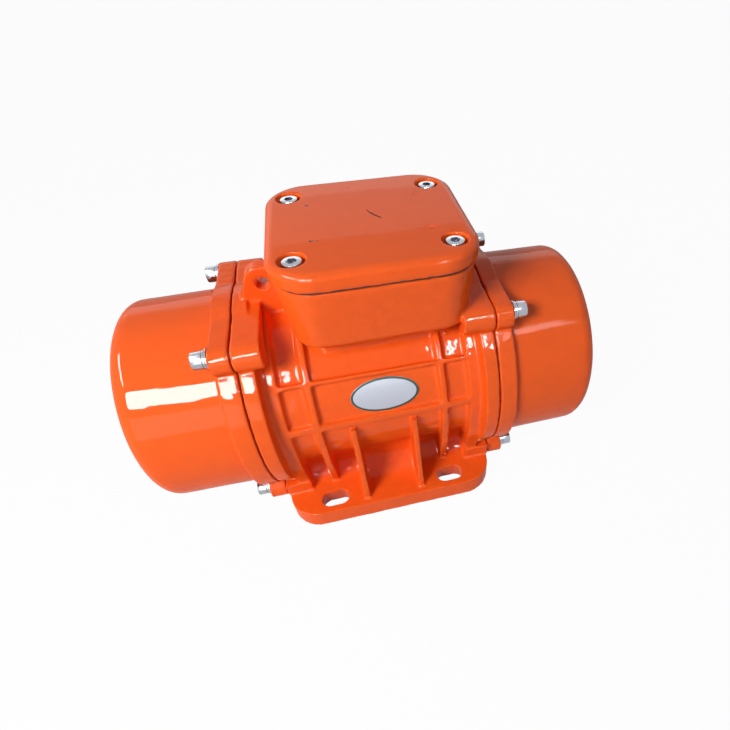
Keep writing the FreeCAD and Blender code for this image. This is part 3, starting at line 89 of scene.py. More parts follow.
@dataclass(frozen=True)
class Finish:
    """One surface finish, as a Principled material with a little uneven texture.

    Attributes:
        name: What the surface really is.
        colour: sRGB colour as hex digits.
        slot: The record's material slot it stands for.
        metallic: 1 for bare metals and 0 for everything else.
        roughness: Mean roughness.
        sheen_level: Specular level under the gloss, where 0.5 is a plain dielectric.
        coat: Weight of the clear gloss on top.
        coat_roughness: Roughness of that gloss.
        grain_mm: Size of the surface's unevenness.
        grain_height_mm: Height of that unevenness.
        roughness_spread: How far the roughness wanders round its mean.
        tint: How much the colour wanders in brightness.
    """

    name: str
    colour: str
    slot: str
    metallic: float = 0.0
    roughness: float = 0.5
    sheen_level: float = 0.5
    coat: float = 0.0
    coat_roughness: float = 0.05
    grain_mm: float = 2.0
    grain_height_mm: float = 0.0
    roughness_spread: float = 0.0
    tint: float = 0.0

    def material(self) -> bpy.types.Material:
        """Make the material, or return it if it was made before.

        Returns:
            The Blender material with this finish's name.
        """
        made = bpy.data.materials.get(self.name)
        if made is not None:
            return made
        made = bpy.data.materials.new(self.name)
        made.use_nodes = True
        tree = made.node_tree
        shader = tree.nodes["Principled BSDF"]
        shader.inputs["Base Color"].default_value = linear(self.colour)
        shader.inputs["Metallic"].default_value = self.metallic
        shader.inputs["Roughness"].default_value = self.roughness
        shader.inputs["Specular IOR Level"].default_value = self.sheen_level
        shader.inputs["Coat Weight"].default_value = self.coat
        shader.inputs["Coat Roughness"].default_value = self.coat_roughness
        if self.grain_height_mm or self.roughness_spread or self.tint:
            self.add_grain(tree, shader)
        return made

    def add_grain(self, tree: bpy.types.NodeTree, shader: bpy.types.Node) -> None:
        """Let a noise in object space drive the bump, the roughness and the tint.

        Args:
            tree: The material's nodes.
            shader: Its Principled node.
        """
        place = add_node(tree, "ShaderNodeTexCoord")
        noise = add_node(tree, "ShaderNodeTexNoise", {"Scale": 1 / (self.grain_mm * MM),
                                                      "Detail": 3.0, "Roughness": 0.55})
        tree.links.new(place.outputs["Object"], noise.inputs["Vector"])
        if self.grain_height_mm:
            bump = add_node(tree, "ShaderNodeBump", {"Strength": 1.0,
                                                     "Distance": self.grain_height_mm * MM})
            tree.links.new(noise.outputs["Fac"], bump.inputs["Height"])
            tree.links.new(bump.outputs["Normal"], shader.inputs["Normal"])
            tree.links.new(bump.outputs["Normal"], shader.inputs["Coat Normal"])
        if self.roughness_spread:
            spread = add_node(tree, "ShaderNodeMapRange", {
                "From Min": 0.3, "From Max": 0.7,
                "To Min": self.roughness - self.roughness_spread,
                "To Max": self.roughness + self.roughness_spread})
            tree.links.new(noise.outputs["Fac"], spread.inputs["Value"])
            tree.links.new(spread.outputs["Result"], shader.inputs["Roughness"])
        if self.tint:
            shade = add_node(tree, "ShaderNodeHueSaturation", {"Color": linear(self.colour)})
            value = add_node(tree, "ShaderNodeMapRange", {
                "From Min": 0.3, "From Max": 0.7,
                "To Min": 1 - self.tint, "To Max": 1 + self.tint})
            tree.links.new(noise.outputs["Fac"], value.inputs["Value"])
            tree.links.new(value.outputs["Result"], shade.inputs["Value"])
            tree.links.new(shade.outputs["Color"], shader.inputs["Base Color"])


def add_node(tree: bpy.types.NodeTree, kind: str,
             values: dict[str | int, object] | None = None) -> bpy.types.Node:
    """Add a shader node and set its sockets.

    Args:
        tree: Where the node goes.
        kind: Its Blender type name.
        values: Default values by socket name.

    Returns:
        The new node.
    """
    node = tree.nodes.new(kind)
    for socket, value in (values or {}).items():
        node.inputs[socket].default_value = value
    return node


# Orange enamel sprayed over a sand casting: glossy, and uneven where the sand left its marks.
CAST_PAINT = Finish("orange enamel on a sand casting", "#e6581a", "painted_casting",
                    roughness=0.42, sheen_level=0.0, coat=0.3, coat_roughness=0.03, grain_mm=5.0,
                    grain_height_mm=0.05, roughness_spread=0.05, tint=0.03)
# The same enamel over the smoother covers and lid.
SMOOTH_PAINT = Finish("orange enamel on a smooth casting", "#e6581a", "painted_casting",
                      roughness=0.42, sheen_level=0.0, coat=0.3, coat_roughness=0.025,
                      grain_mm=9.0, grain_height_mm=0.012, roughness_spread=0.05, tint=0.02)
# Bluish zinc plating on the screws and washers.
ZINC = Finish("zinc-plated steel", "#a9adb4", "plated_screws", metallic=1.0, roughness=0.2,
              grain_mm=1.6, grain_height_mm=0.012, roughness_spread=0.08)
RUBBER = Finish("black nitrile rubber", "#141414", "gasket_rubber", roughness=0.75,
                grain_mm=0.8, grain_height_mm=0.01)
LABEL_METAL = Finish("anodised aluminium label", "#adb2be", "label_metal", metallic=0.3,
                     roughness=0.38, grain_mm=1.2, grain_height_mm=0.004,
                     roughness_spread=0.05)
LABEL_INK = Finish("dark green screen ink", "#0d3526", "label_metal", roughness=0.4)
# The dark brown in the lid's scratch and pits: partly the primer under the broken enamel, partly
# painted shade that stands in for the shade in these shallow recesses.
PRIMER_AND_PAINTED_SHADE = Finish("brown primer and painted shade in lid marks", "#5a1408", "painted_casting", roughness=0.6)
ELECTRICAL_STEEL = Finish("varnished electrical steel", "#5b5f66", "electrical_steel",
                          metallic=1.0, roughness=0.45, grain_mm=0.5, roughness_spread=0.1)
COPPER = Finish("enamelled copper wire", "#a85a32", "winding_copper", metallic=1.0,
                roughness=0.3, grain_mm=0.9, grain_height_mm=0.05, roughness_spread=0.1)
TURNED_STEEL = Finish("turned steel", "#a3a5a8", "machined_steel", metallic=1.0, roughness=0.28,
                      grain_mm=0.6, grain_height_mm=0.004, roughness_spread=0.06)
CAST_ALUMINIUM = Finish("die-cast aluminium", "#c2c4c6", "cage_aluminium", metallic=1.0,
                        roughness=0.42, grain_mm=0.8, grain_height_mm=0.01,
                        roughness_spread=0.06)
THERMOSET = Finish("brown thermoset moulding", "#3a2b22", "moulded_plastic", roughness=0.48,
                   grain_mm=0.7, grain_height_mm=0.008, roughness_spread=0.05)
BRASS = Finish("bright brass", "#d0a85c", "terminal_brass", metallic=1.0, roughness=0.25,
               grain_mm=0.7, grain_height_mm=0.004, roughness_spread=0.05)
POLYAMIDE = Finish("black polyamide", "#1b1b1d", "gland_plastic", roughness=0.5,
                   grain_mm=0.5, grain_height_mm=0.01, roughness_spread=0.05)
CAST_IRON = Finish("machined cast iron", "#6a6a69", "shield_iron", metallic=1.0, roughness=0.5,
                   grain_mm=0.9, grain_height_mm=0.02, roughness_spread=0.08)
BEARING_STEEL = Finish("polished bearing steel", "#c9c9cb", "bearing_steel", metallic=1.0,
                       roughness=0.12, grain_mm=0.6, roughness_spread=0.03)

CARRIED_FINISHES: dict[str, Finish] = {finish.slot: finish for finish in (
    RUBBER, ELECTRICAL_STEEL, COPPER, TURNED_STEEL, CAST_ALUMINIUM, THERMOSET, BRASS, POLYAMIDE,
    CAST_IRON, BEARING_STEEL, ZINC)}


# ---------------------------------------------------------------------------- outlines
def arc(cx: float, cy: float, radius: float, start: float, stop: float,
        steps: int = 16) -> list[Flat]:
    """Points on an arc, with angles in degrees.

    Args:
        cx: Centre's first coordinate.
        cy: Centre's second coordinate.
        radius: Arc radius.
        start: First angle.
        stop: Last angle, which may be the smaller one.
        steps: Number of chords.

    Returns:
        The points from start to stop.
    """
    angles = (math.radians(start + (stop - start) * i / steps) for i in range(steps + 1))
    return [(cx + radius * math.cos(a), cy + radius * math.sin(a)) for a in angles]


def rounded_rectangle(x0: float, x1: float, y0: float, y1: float, corner: float,
                      steps: int = 16) -> list[Flat]:
    """The outline of a rectangle with round corners, anticlockwise."""
    return (arc(x1 - corner, y1 - corner, corner, 0, 90, steps)
            + arc(x0 + corner, y1 - corner, corner, 90, 180, steps)
            + arc(x0 + corner, y0 + corner, corner, 180, 270, steps)
            + arc(x1 - corner, y0 + corner, corner, 270, 360, steps))


def slot_outline(x: float, y: float, length: float, width: float) -> list[Flat]:
    """The outline of a slot along X with round ends."""
    half, radius = (length - width) / 2, width / 2
    return arc(x + half, y, radius, -90, 90) + arc(x - half, y, radius, 90, 270)


# ---------------------------------------------------------------------------- meshes
class Plane(Enum):
    """The plane of a flat outline, and so the direction in which it is drawn out."""

    XY = "xy"
    XZ = "xz"
    YZ = "yz"

    def at(self, u: float, v: float, depth: float) -> Vector:
        """Place an outline point in space, in millimetres."""
        if self is Plane.XY:
            return Vector((u, v, depth))
        if self is Plane.XZ:
            return Vector((u, depth, v))
        return Vector((depth, u, v))


def as_object(name: str, mesh: bmesh.types.BMesh) -> bpy.types.Object:
    """Store a millimetre mesh as an object in metres.

    Args:
        name: Name for the object and its mesh.
        mesh: The finished bmesh, which is freed.

    Returns:
        The linked object.
    """
    bmesh.ops.scale(mesh, vec=Vector((MM, MM, MM)), verts=mesh.verts)
    bmesh.ops.recalc_face_normals(mesh, faces=mesh.faces)
    data = bpy.data.meshes.new(name)
    mesh.to_mesh(data)
    mesh.free()
    item = bpy.data.objects.new(name, data)
    bpy.context.scene.collection.objects.link(item)
    return item


def loft(name: str, plane: Plane, sections: Sequence[tuple[float, Sequence[Flat]]]
         ) -> bpy.types.Object:
    """Join outlines at several depths into one closed mesh.

    Args:
        name: Name of the result.
        plane: Plane of the outlines.
        sections: (depth, outline) pairs whose outlines have the same number of points.

    Returns:
        The closed mesh.
    """
    mesh = bmesh.new()
    rows = [[mesh.verts.new(plane.at(u, v, depth)) for u, v in outline]
            for depth, outline in sections]
    for low, high in zip(rows, rows[1:]):
        for i in range(len(low)):
            j = (i + 1) % len(low)
            mesh.faces.new((low[i], low[j], high[j], high[i]))
    mesh.faces.new(rows[0])
    mesh.faces.new(rows[-1])
    return as_object(name, mesh)


def prism(name: str, plane: Plane, outline: Sequence[Flat], start: float, stop: float
          ) -> bpy.types.Object:
    """Draw an outline out from one depth to another."""
    return loft(name, plane, [(start, outline), (stop, outline)])


def lathe(name: str, profile: Sequence[Flat], origin: Sequence[float], axis: Sequence[float],
          segments: int = 96) -> bpy.types.Object:
    """Turn a closed (height, radius) profile round an axis.

    Args:
        name: Name of the result.
        profile: Corners of the closed profile.
        origin: Point of the axis where the height is 0, in millimetres.
        axis: Direction in which the height grows.
        segments: Number of steps round the axis.

    Returns:
        The closed mesh.
    """
    mesh = bmesh.new()
    turn = Vector(axis).to_track_quat("Z", "Y").to_matrix()
    base = Vector(origin)
    rows = []
    for step in range(segments):
        angle = math.tau * step / segments
        rows.append([mesh.verts.new(base + turn @ Vector(
            (r * math.cos(angle), r * math.sin(angle), h))) for h, r in profile])
    for step in range(segments):
        near, far = rows[step], rows[(step + 1) % segments]
        for i in range(len(profile)):
            j = (i + 1) % len(profile)
            if profile[i][1] > 0 or profile[j][1] > 0:
                mesh.faces.new((near[i], near[j], far[j], far[i]))
    bmesh.ops.remove_doubles(mesh, verts=mesh.verts, dist=1e-5)
    return as_object(name, mesh)


def baked(item: bpy.types.Object) -> bpy.types.Object:
    """Replace an object's mesh by what its modifiers make of it."""
    graph = bpy.context.evaluated_depsgraph_get()
    data = bpy.data.meshes.new_from_object(item.evaluated_get(graph))
    old = item.data
    item.modifiers.clear()
    item.data = data
    bpy.data.meshes.remove(old)
    return item


def drop(items: Iterable[bpy.types.Object]) -> None:
    """Delete helper objects and their meshes."""
    for item in items:
        data = item.data
        bpy.data.objects.remove(item)
        bpy.data.meshes.remove(data)


def joined(name: str, items: Sequence[bpy.types.Object]) -> bpy.types.Object:
    """Put several meshes into one object, without melting them together."""
    mesh = bmesh.new()
    finishes: list[bpy.types.Material] = []
    for item in items:
        start = len(mesh.faces)
        mesh.from_mesh(item.data)
        mesh.faces.ensure_lookup_table()
        for material in item.data.materials:
            finishes.append(material)
            for face in mesh.faces[start:]:
                face.material_index = len(finishes) - 1
    data = bpy.data.meshes.new(name)
    mesh.to_mesh(data)
    mesh.free()
    for material in finishes:
        data.materials.append(material)
    drop(items)
    whole = bpy.data.objects.new(name, data)
    bpy.context.scene.collection.objects.link(whole)
    return whole


def cut(item: bpy.types.Object, tools: Sequence[bpy.types.Object]) -> bpy.types.Object:
    """Take the tools' volume away from an object, and delete the tools."""
    for tool in tools:
        step = item.modifiers.new("cut", "BOOLEAN")
        step.operation = "DIFFERENCE"
        step.solver = "EXACT"
        step.object = tool
        step.material_mode = "TRANSFER" if item.data.materials else "INDEX"
    baked(item)
    drop(tools)
    return item


def melted(name: str, items: Sequence[bpy.types.Object], grid_mm: float, rounds: int,
           lumps: Sequence[Flat] = ()) -> bpy.types.Object:
    """Melt overlapping closed meshes into one skin with soft corners, like a casting.

    Args:
        name: Name of the result.
        items: The closed meshes, which are used up.
        grid_mm: Size of the grid on which the skin is found.
        rounds: How often the skin is smoothed, which sets the corner radius.
        lumps: (size, depth) in millimetres of each unevenness that is pressed into the skin.

    Returns:
        The casting.
    """
    whole = joined(name, items)
    melt = whole.modifiers.new("melt", "REMESH")
    melt.mode = "VOXEL"
    melt.voxel_size = grid_mm * MM
    melt.adaptivity = 0.0
    soften = whole.modifiers.new("soften", "SMOOTH")
    soften.factor = 0.5
    soften.iterations = rounds
    for size, depth in lumps:
        clouds = bpy.data.textures.new("casting_lumps", "CLOUDS")
        clouds.noise_scale = size * MM
        clouds.noise_depth = 1
        press = whole.modifiers.new("press", "DISPLACE")
        press.texture = clouds
        press.texture_coords = "LOCAL"
        press.mid_level = 1.0
        press.strength = depth * MM
    baked(whole)
    whole.data.polygons.foreach_set("use_smooth", [True] * len(whole.data.polygons))
    return whole


def roughened(item: bpy.types.Object, size_mm: float, depth_mm: float,
              near: Callable[[Vector], bool]) -> bpy.types.Object:
    """Press small lumps into part of a casting, as along an edge that was filed by hand.

    Args:
        item: The casting.
        size_mm: Size of the lumps.
        depth_mm: How deep they are pressed in.
        near: Tells whether a point, in millimetres, lies in the rough part.

    Returns:
        The casting.
    """
    normals = [vertex.vector.copy() for vertex in item.data.vertex_normals]
    for vertex, normal in zip(item.data.vertices, normals):
        point = vertex.co / MM
        if near(point):
            push = 0.5 + 0.5 * noise.noise(point / size_mm)
            vertex.co -= normal * (push * depth_mm * MM)
    return item


def shade(item: bpy.types.Object, angle: float = 35.0) -> bpy.types.Object:
    """Shade smoothly, but keep edges sharper than an angle in degrees."""
    item.data.polygons.foreach_set("use_smooth", [True] * len(item.data.polygons))
    item.data.set_sharp_from_angle(angle=math.radians(angle))
    return item


def show(item: bpy.types.Object, finish: Finish, *nodes: str, body: str = ROOT_BODY) -> None:
    """Give a piece its finish, and let it stand for CAD nodes on one body.

    Args:
        item: The visual piece.
        finish: Its surface.
        nodes: The CAD nodes it replaces.
        body: The CAD body it moves with.
    """
    if not item.data.materials:
        item.data.materials.append(finish.material())
    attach(item, body)
    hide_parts(*nodes)
    log.info("%s: %d faces, %s", item.name, len(item.data.polygons), finish.name)


# ---------------------------------------------------------------------------- castings
@dataclass(frozen=True)
class Skin:
    """How a casting's pieces melt together, in millimetres.

    Attributes:
        grid: Size of the grid on which the skin is found.
        rounds: Rounds of smoothing, which set the corner radius.
        lumps: (size, depth) of each unevenness all over the casting.
    """

    grid: float
    rounds: int
    lumps: tuple[Flat, ...]

    def melt(self, name: str, items: Sequence[bpy.types.Object]) -> bpy.types.Object:
        """Melt the pieces into one casting."""
        return melted(name, items, self.grid, self.rounds, self.lumps)


HOUSING_SKIN = Skin(0.6, 6, ((9.0, 0.4), (3.0, 0.1)))
COVER_SKIN = Skin(0.6, 3, ((14.0, 0.15), (3.0, 0.025)))
LID_SKIN = Skin(0.4, 3, ((25.0, 0.05),))

# Size of the lumps left by the file along the seams, and how deep they go on each piece.
SEAM_LUMP = 3.0
LID_SEAM_DEPTH = 0.5
HOUSING_SEAM_DEPTH = 0.35
COVER_SEAM_DEPTH = 0.3
FLANGE_LUMP: Flat = (3.5, 0.16)


@dataclass(frozen=True)
class FlangeSizes:
    """The outline that a cover and its seat on the housing share, in millimetres."""

    seam_x: float = 61.0
    radius: float = 57.7
    register_radius: float = 50.0
    screw_y: float = 35.5
    screw_up: float = 50.3
    screw_down: float = 50.6
    ear_radius: float = 7.0
    ear_top: float = 55.7
    boss_radius: float = 7.2

    def upper_ears(self) -> list[Flat]:
        """The flat-topped band with a round ear at each end, open towards the bore."""
        middle = self.ear_top - self.ear_radius
        inner = self.register_radius + 2.5
        return ([(y, z + AXIS_HEIGHT) for y, z in (
            arc(self.screw_y, middle, self.ear_radius, -60, 90)
            + arc(-self.screw_y, middle, self.ear_radius, 90, 240)
            + arc(0, 0, inner, 130, 50, 32))])

    def lower_web(self, side: int) -> list[Flat]:
        """The web that ties a lower boss to the flange; side is -1 in front and 1 behind."""
        angle = math.atan2(-self.screw_down, side * self.screw_y)
        out = Vector((math.cos(angle), math.sin(angle)))
        across = Vector((-out.y, out.x)) * self.boss_radius
        near = out * (self.register_radius + 3.0)
        far = Vector((side * self.screw_y, -self.screw_down))
        return [(p.x, p.y + AXIS_HEIGHT)
                for p in (near - across, far - across, far + across, near + across)]

    def blocks(self, start: float, stop: float, ear_stop: float) -> list[bpy.types.Object]:
        """The ears and bosses between two planes across the shaft.

        Args:
            start: The seam's place along X.
            stop: Where the lower bosses end.
            ear_stop: Where the upper ears end.

        Returns:
            The separate meshes.
        """
        blocks = [prism("ears", Plane.YZ, self.upper_ears(), start, ear_stop)]
        for side in (-1, 1):
            blocks.append(prism("lower_web", Plane.YZ, self.lower_web(side), start, stop))
            ring = [(y, z + AXIS_HEIGHT) for y, z in
                    arc(side * self.screw_y, -self.screw_down, self.boss_radius, 0, 360, 48)[:-1]]
            blocks.append(prism("lower_boss", Plane.YZ, ring, start, stop))
        return blocks


@dataclass(frozen=True)
class HousingSizes:
    """Sizes of the housing casting in millimetres, as in the CAD model."""

    bore: float = 41.0
    barrel: float = 48.0
    rib: float = 51.0
    flange_thickness: float = 7.6
    step_width: float = 7.0
    draft: float = 1.0
    register_depth: float = 6.0
    ring_rib_x: float = 32.8
    ring_rib_width: float = 3.0
    ring_rib_waist: float = 48.5
    ring_rib_foot: float = 41.0
    web_rib_x: float = 16.0
    web_rib_width: float = 3.4
    web_rib_foot: float = 58.0
    upper_rib_angle: float = 36.0
    upper_rib_width: float = 2.4
    ledge_angle: float = 7.6
    ledge_width: float = 4.0
    foot_length: float = 119.0
    foot_width: float = 124.4
    foot_thickness: float = 12.2
    foot_corner: float = 17.0
    slot_pitch: Flat = (68.0, 106.0)
    slot_size: Flat = (15.0, 9.0)
    slot_flare: float = 1.6
    relief: Flat = (28.0, 1.5)
    left_ear: float = 13.5
    right_ear: float = 16.5
    boss: float = 15.0
    boss_block: Flat = (44.5, 43.4)
    foot_sweep: float = 11.0
    web_sweep: float = 14.0
    box_x: float = 8.7
    box_half: Flat = (45.0, 43.7)
    box_corner: float = 19.0
    box_corner_draft: float = 5.6
    box_top: float = 80.3
    box_bottom: float = 45.2
    box_draft: tuple[float, float, float] = (3.0, 4.2, 3.0)
    box_wall: float = 5.5
    box_floor: float = 54.0
    neck_inset: float = 11.5
    lug_x: float = 44.4
    lug_up: float = 64.4
    lug_radius: float = 8.7
    lug_hole: float = 3.0
    lug_thickness: float = 8.0
    gland_boss: tuple[float, float, float] = (12.0, 45.0, 66.0)


class Housing:
    """The casting: barrel, flanges, ribs, foot, terminal box and lifting lug."""

    def __init__(self, sizes: HousingSizes, flange: FlangeSizes) -> None:
        """Keep the sizes, and note the height of the foot's top."""
        self.s = sizes
        self.flange = flange
        self.foot_top = sizes.foot_thickness - AXIS_HEIGHT

    def build(self) -> None:
        """Make the casting and let it stand for its CAD node."""
        pieces = [self.barrel(), self.foot(), self.bed(), self.box(), self.neck(), self.lug(),
                  self.gland_boss()]
        pieces += self.ribs()
        for end, ear in ((-1, self.s.left_ear), (1, self.s.right_ear)):
            seam = end * self.flange.seam_x
            pieces += self.flange.blocks(seam, seam - end * self.s.boss, seam - end * ear)
            pieces += self.boss_blocks(end)
        casting = HOUSING_SKIN.melt("housing_casting", pieces)
        rim = AXIS_HEIGHT + self.s.box_top - 1.5
        face = self.flange.seam_x - 1.0
        roughened(casting, SEAM_LUMP, LID_SEAM_DEPTH, lambda p: p.z > rim)
        roughened(casting, SEAM_LUMP, HOUSING_SEAM_DEPTH, lambda p: abs(p.x) > face)
        show(casting, CAST_PAINT, "stator_housing")

    def lifted(self, outline: Iterable[Flat]) -> list[Flat]:
        """Move an outline from the shaft axis to the foot's underside."""
        return [(u, v + AXIS_HEIGHT) for u, v in outline]

    def barrel(self) -> bpy.types.Object:
        """The turned tube with flanges, step rings and ring ribs."""
        s, f = self.s, self.flange
        back = f.seam_x - s.flange_thickness
        step = back - s.step_width
        half = s.ring_rib_width / 2
        right = [
            (s.ring_rib_x - half - s.draft, s.barrel), (s.ring_rib_x - half, s.rib),
            (s.ring_rib_x + half, s.rib), (s.ring_rib_x + half + s.draft, s.barrel),
            (step - s.draft, s.barrel), (step, s.rib), (back - s.draft, s.rib),
            (back, f.radius), (f.seam_x, f.radius), (f.seam_x, f.register_radius),
            (f.seam_x - s.register_depth, f.register_radius),
            (f.seam_x - s.register_depth, s.bore),
        ]
        left = [(-x, r) for x, r in reversed(right)]
        return lathe("barrel", right + left, (0, 0, AXIS_HEIGHT), (1, 0, 0), 256)

    def foot(self) -> bpy.types.Object:
        """The foot plate with its four slots and the relief under it."""
        s = self.s
        hx, hy = s.foot_length / 2, s.foot_width / 2
        plate = prism("foot", Plane.XY, rounded_rectangle(-hx, hx, -hy, hy, s.foot_corner),
                      0, s.foot_thickness)
        tools = []
        for sx in (-1, 1):
            for sy in (-1, 1):
                outline = slot_outline(sx * s.slot_pitch[0] / 2, sy * s.slot_pitch[1] / 2,
                                       *s.slot_size)
                flared = slot_outline(sx * s.slot_pitch[0] / 2, sy * s.slot_pitch[1] / 2,
                                      s.slot_size[0] + 2 * s.slot_flare,
                                      s.slot_size[1] + 2 * s.slot_flare)
                tools.append(loft("slot", Plane.XY, [(-1, flared), (s.foot_thickness - 3, outline),
                                                     (s.foot_thickness + 1, outline)]))
        half, depth = s.relief
        tools.append(prism("relief", Plane.YZ, [(-half, -1), (half, -1), (half, depth),
                                                (-half, depth)], -hx - 1, hx + 1))
        return cut(plate, tools)

    def bed(self) -> bpy.types.Object:
        """The solid metal between the bore and the foot."""
        reach = self.flange.seam_x - self.s.flange_thickness
        half = self.s.bore * 0.8
        turn = math.degrees(math.acos(half / (self.s.bore + 2.5)))
        return prism("bed", Plane.YZ, self.lifted(
            [(-half, self.foot_top - 1), (half, self.foot_top - 1)]
            + arc(0, 0, self.s.bore + 2.5, -turn, turn - 180, 32)), -reach, reach)

    def boss_blocks(self, end: int) -> list[bpy.types.Object]:
        """The blocks that carry the two lower bosses of one end on the foot."""
        far, up = self.s.boss_block
        seam = end * self.flange.seam_x
        return [prism("block", Plane.YZ, self.lifted(
            [(side * far * 0.6, self.foot_top - 1), (side * far, self.foot_top - 1),
             (side * far, -up), (side * far * 0.6, -up)]), seam, seam - end * self.s.boss)
            for side in (-1, 1)]

    def sweep(self, side: int, radius: float) -> list[Flat]:
        """The hollow curve from the barrel's side down into the foot."""
        span = self.s.barrel + radius
        drop = self.foot_top + radius
        out = math.sqrt(span ** 2 - drop ** 2)
        start = math.degrees(math.atan2(-drop, -out))
        curve = arc(out, drop, radius, start, 270, 48)
        points = [(30.0, -33.0)] + curve + [(out, self.foot_top - 1), (30.0, self.foot_top - 1)]
        return self.lifted((side * y, z) for y, z in points)

    def bar(self, angle: float, side: int, width: float) -> list[Flat]:
        """The cross-section of a rib along the barrel."""
        a = math.radians(angle)
        out = Vector((side * math.cos(a), math.sin(a)))
        across = Vector((-out.y, out.x)) * width / 2
        low, high = out * (self.s.bore + 3), out * self.s.rib
        return self.lifted((p.x, p.y) for p in (low - across, high - across, high + across,
                                                low + across))

    def ribs(self) -> list[bpy.types.Object]:
        """Ribs along the barrel, and the legs that run from it down to the foot."""
        s = self.s
        reach = self.flange.seam_x - s.flange_thickness
        made = []
        for side in (-1, 1):
            for angle, width in ((s.upper_rib_angle, s.upper_rib_width),
                                 (s.ledge_angle, s.ledge_width)):
                made.append(prism("rib", Plane.YZ, self.bar(angle, side, width), -reach, reach))
            inner = arc(0, 0, s.bore + 3, -60, 0, 24)
            low = self.foot_top
            ring = [(s.rib, 0), (s.ring_rib_waist, low / 2), (s.ring_rib_foot, low), (36, low)]
            web = [(s.rib, s.ledge_width / 2), (s.web_rib_foot, low), (36, low)]
            for x, width, outer in ((s.ring_rib_x, s.ring_rib_width + s.draft, ring),
                                    (reach - s.step_width / 2, s.step_width, ring),
                                    (s.web_rib_x, s.web_rib_width, web)):
                shape = self.lifted((side * y, z) for y, z in inner + outer)
                for end in (-1, 1):
                    made.append(prism("leg", Plane.YZ, shape, end * x - width / 2,
                                      end * x + width / 2))
            for radius, along in ((s.foot_sweep, reach), (s.web_sweep, s.web_rib_x)):
                made.append(prism("sweep", Plane.YZ, self.sweep(side, radius), -along, along))
        return made

    def box(self) -> bpy.types.Object:
        """The tapered terminal box with its rounded keel and its hollow."""
        s = self.s
        depth = s.box_top - s.box_bottom
        # (part of the height, share of the draft, extra inset at the keel)
        keel = ((0.0, 1, 6.5), (0.03, 1, 3.8), (0.08, 1, 2.0), (0.12, 1, 0.8), (0.17, 1, 0.0),
                (1.0, 0, 0.0))
        levels = [(AXIS_HEIGHT + s.box_bottom + depth * part,
                   self.box_outline(share, extra, extra / 2)) for part, share, extra in keel]
        inner = [(AXIS_HEIGHT + height, self.box_outline(share, s.box_wall, s.box_wall))
                 for height, share in ((s.box_floor, 0.9), (s.box_top + 1, 0))]
        return cut(loft("box", Plane.XY, levels), [loft("hollow", Plane.XY, inner)])

    def box_outline(self, share: float, inset: float, tighter: float) -> list[Flat]:
        """The box's outline at one height.

        Args:
            share: Share of the draft at that height.
            inset: Distance that it lies inside the drafted wall.
            tighter: How much smaller its corner radius is.

        Returns:
            The outline's points.
        """
        s = self.s
        left, right, side = s.box_draft
        across = s.box_half[1] - side * share - inset
        return rounded_rectangle(
            s.box_x - s.box_half[0] + left * share + inset,
            s.box_x + s.box_half[0] - right * share - inset,
            -across, across, s.box_corner - s.box_corner_draft * share - tighter, 24)

    def neck(self) -> bpy.types.Object:
        """The short neck on which the box stands."""
        s = self.s
        left, right, side = s.box_draft
        half = s.box_half[1] - side - s.neck_inset
        angle = math.degrees(math.acos(half / (s.bore + 3)))
        outline = self.lifted(arc(0, 0, s.bore + 3, 180 - angle, angle, 32)
                              + [(half, s.box_bottom + 2), (-half, s.box_bottom + 2)])
        return prism("neck", Plane.YZ, outline, s.box_x - s.box_half[0] + left + s.neck_inset,
                     s.box_x + s.box_half[0] - right - s.neck_inset)

    def lug(self) -> bpy.types.Object:
        """The half-round lifting eye on the left of the box."""
        s = self.s
        wall = s.box_x - s.box_half[0] + 10
        outline = self.lifted(
            [(-57, 44), (wall, 44), (wall, s.lug_up + s.lug_radius)]
            + arc(-s.lug_x, s.lug_up, s.lug_radius, 90, 170, 24)
            + [(-57, 55.7)])
        plate = prism("lug", Plane.XZ, outline, -s.lug_thickness / 2, s.lug_thickness / 2)
        eye = lathe("eye", [(-9, 0), (9, 0), (9, s.lug_hole), (-9, s.lug_hole)],
                    (-s.lug_x, 0, AXIS_HEIGHT + s.lug_up), (0, 1, 0), 64)
        return cut(plate, [eye])

    def gland_boss(self) -> bpy.types.Object:
        """The flat boss behind the box on which the gland sits."""
        radius, face, up = self.s.gland_boss
        return lathe("gland_boss", [(0, 0), (8, 0), (8, radius), (0, radius)],
                     (self.s.box_x, face - 8, AXIS_HEIGHT + up), (0, 1, 0), 64)


@dataclass(frozen=True)
class CoverSizes:
    """Sizes of a weight cover in millimetres."""

    radius: float = 54.0
    end_x: float = 117.2
    wall: float = 4.0
    flange: float = 9.2
    end_edge: float = 8.0
    draft: float = 0.5


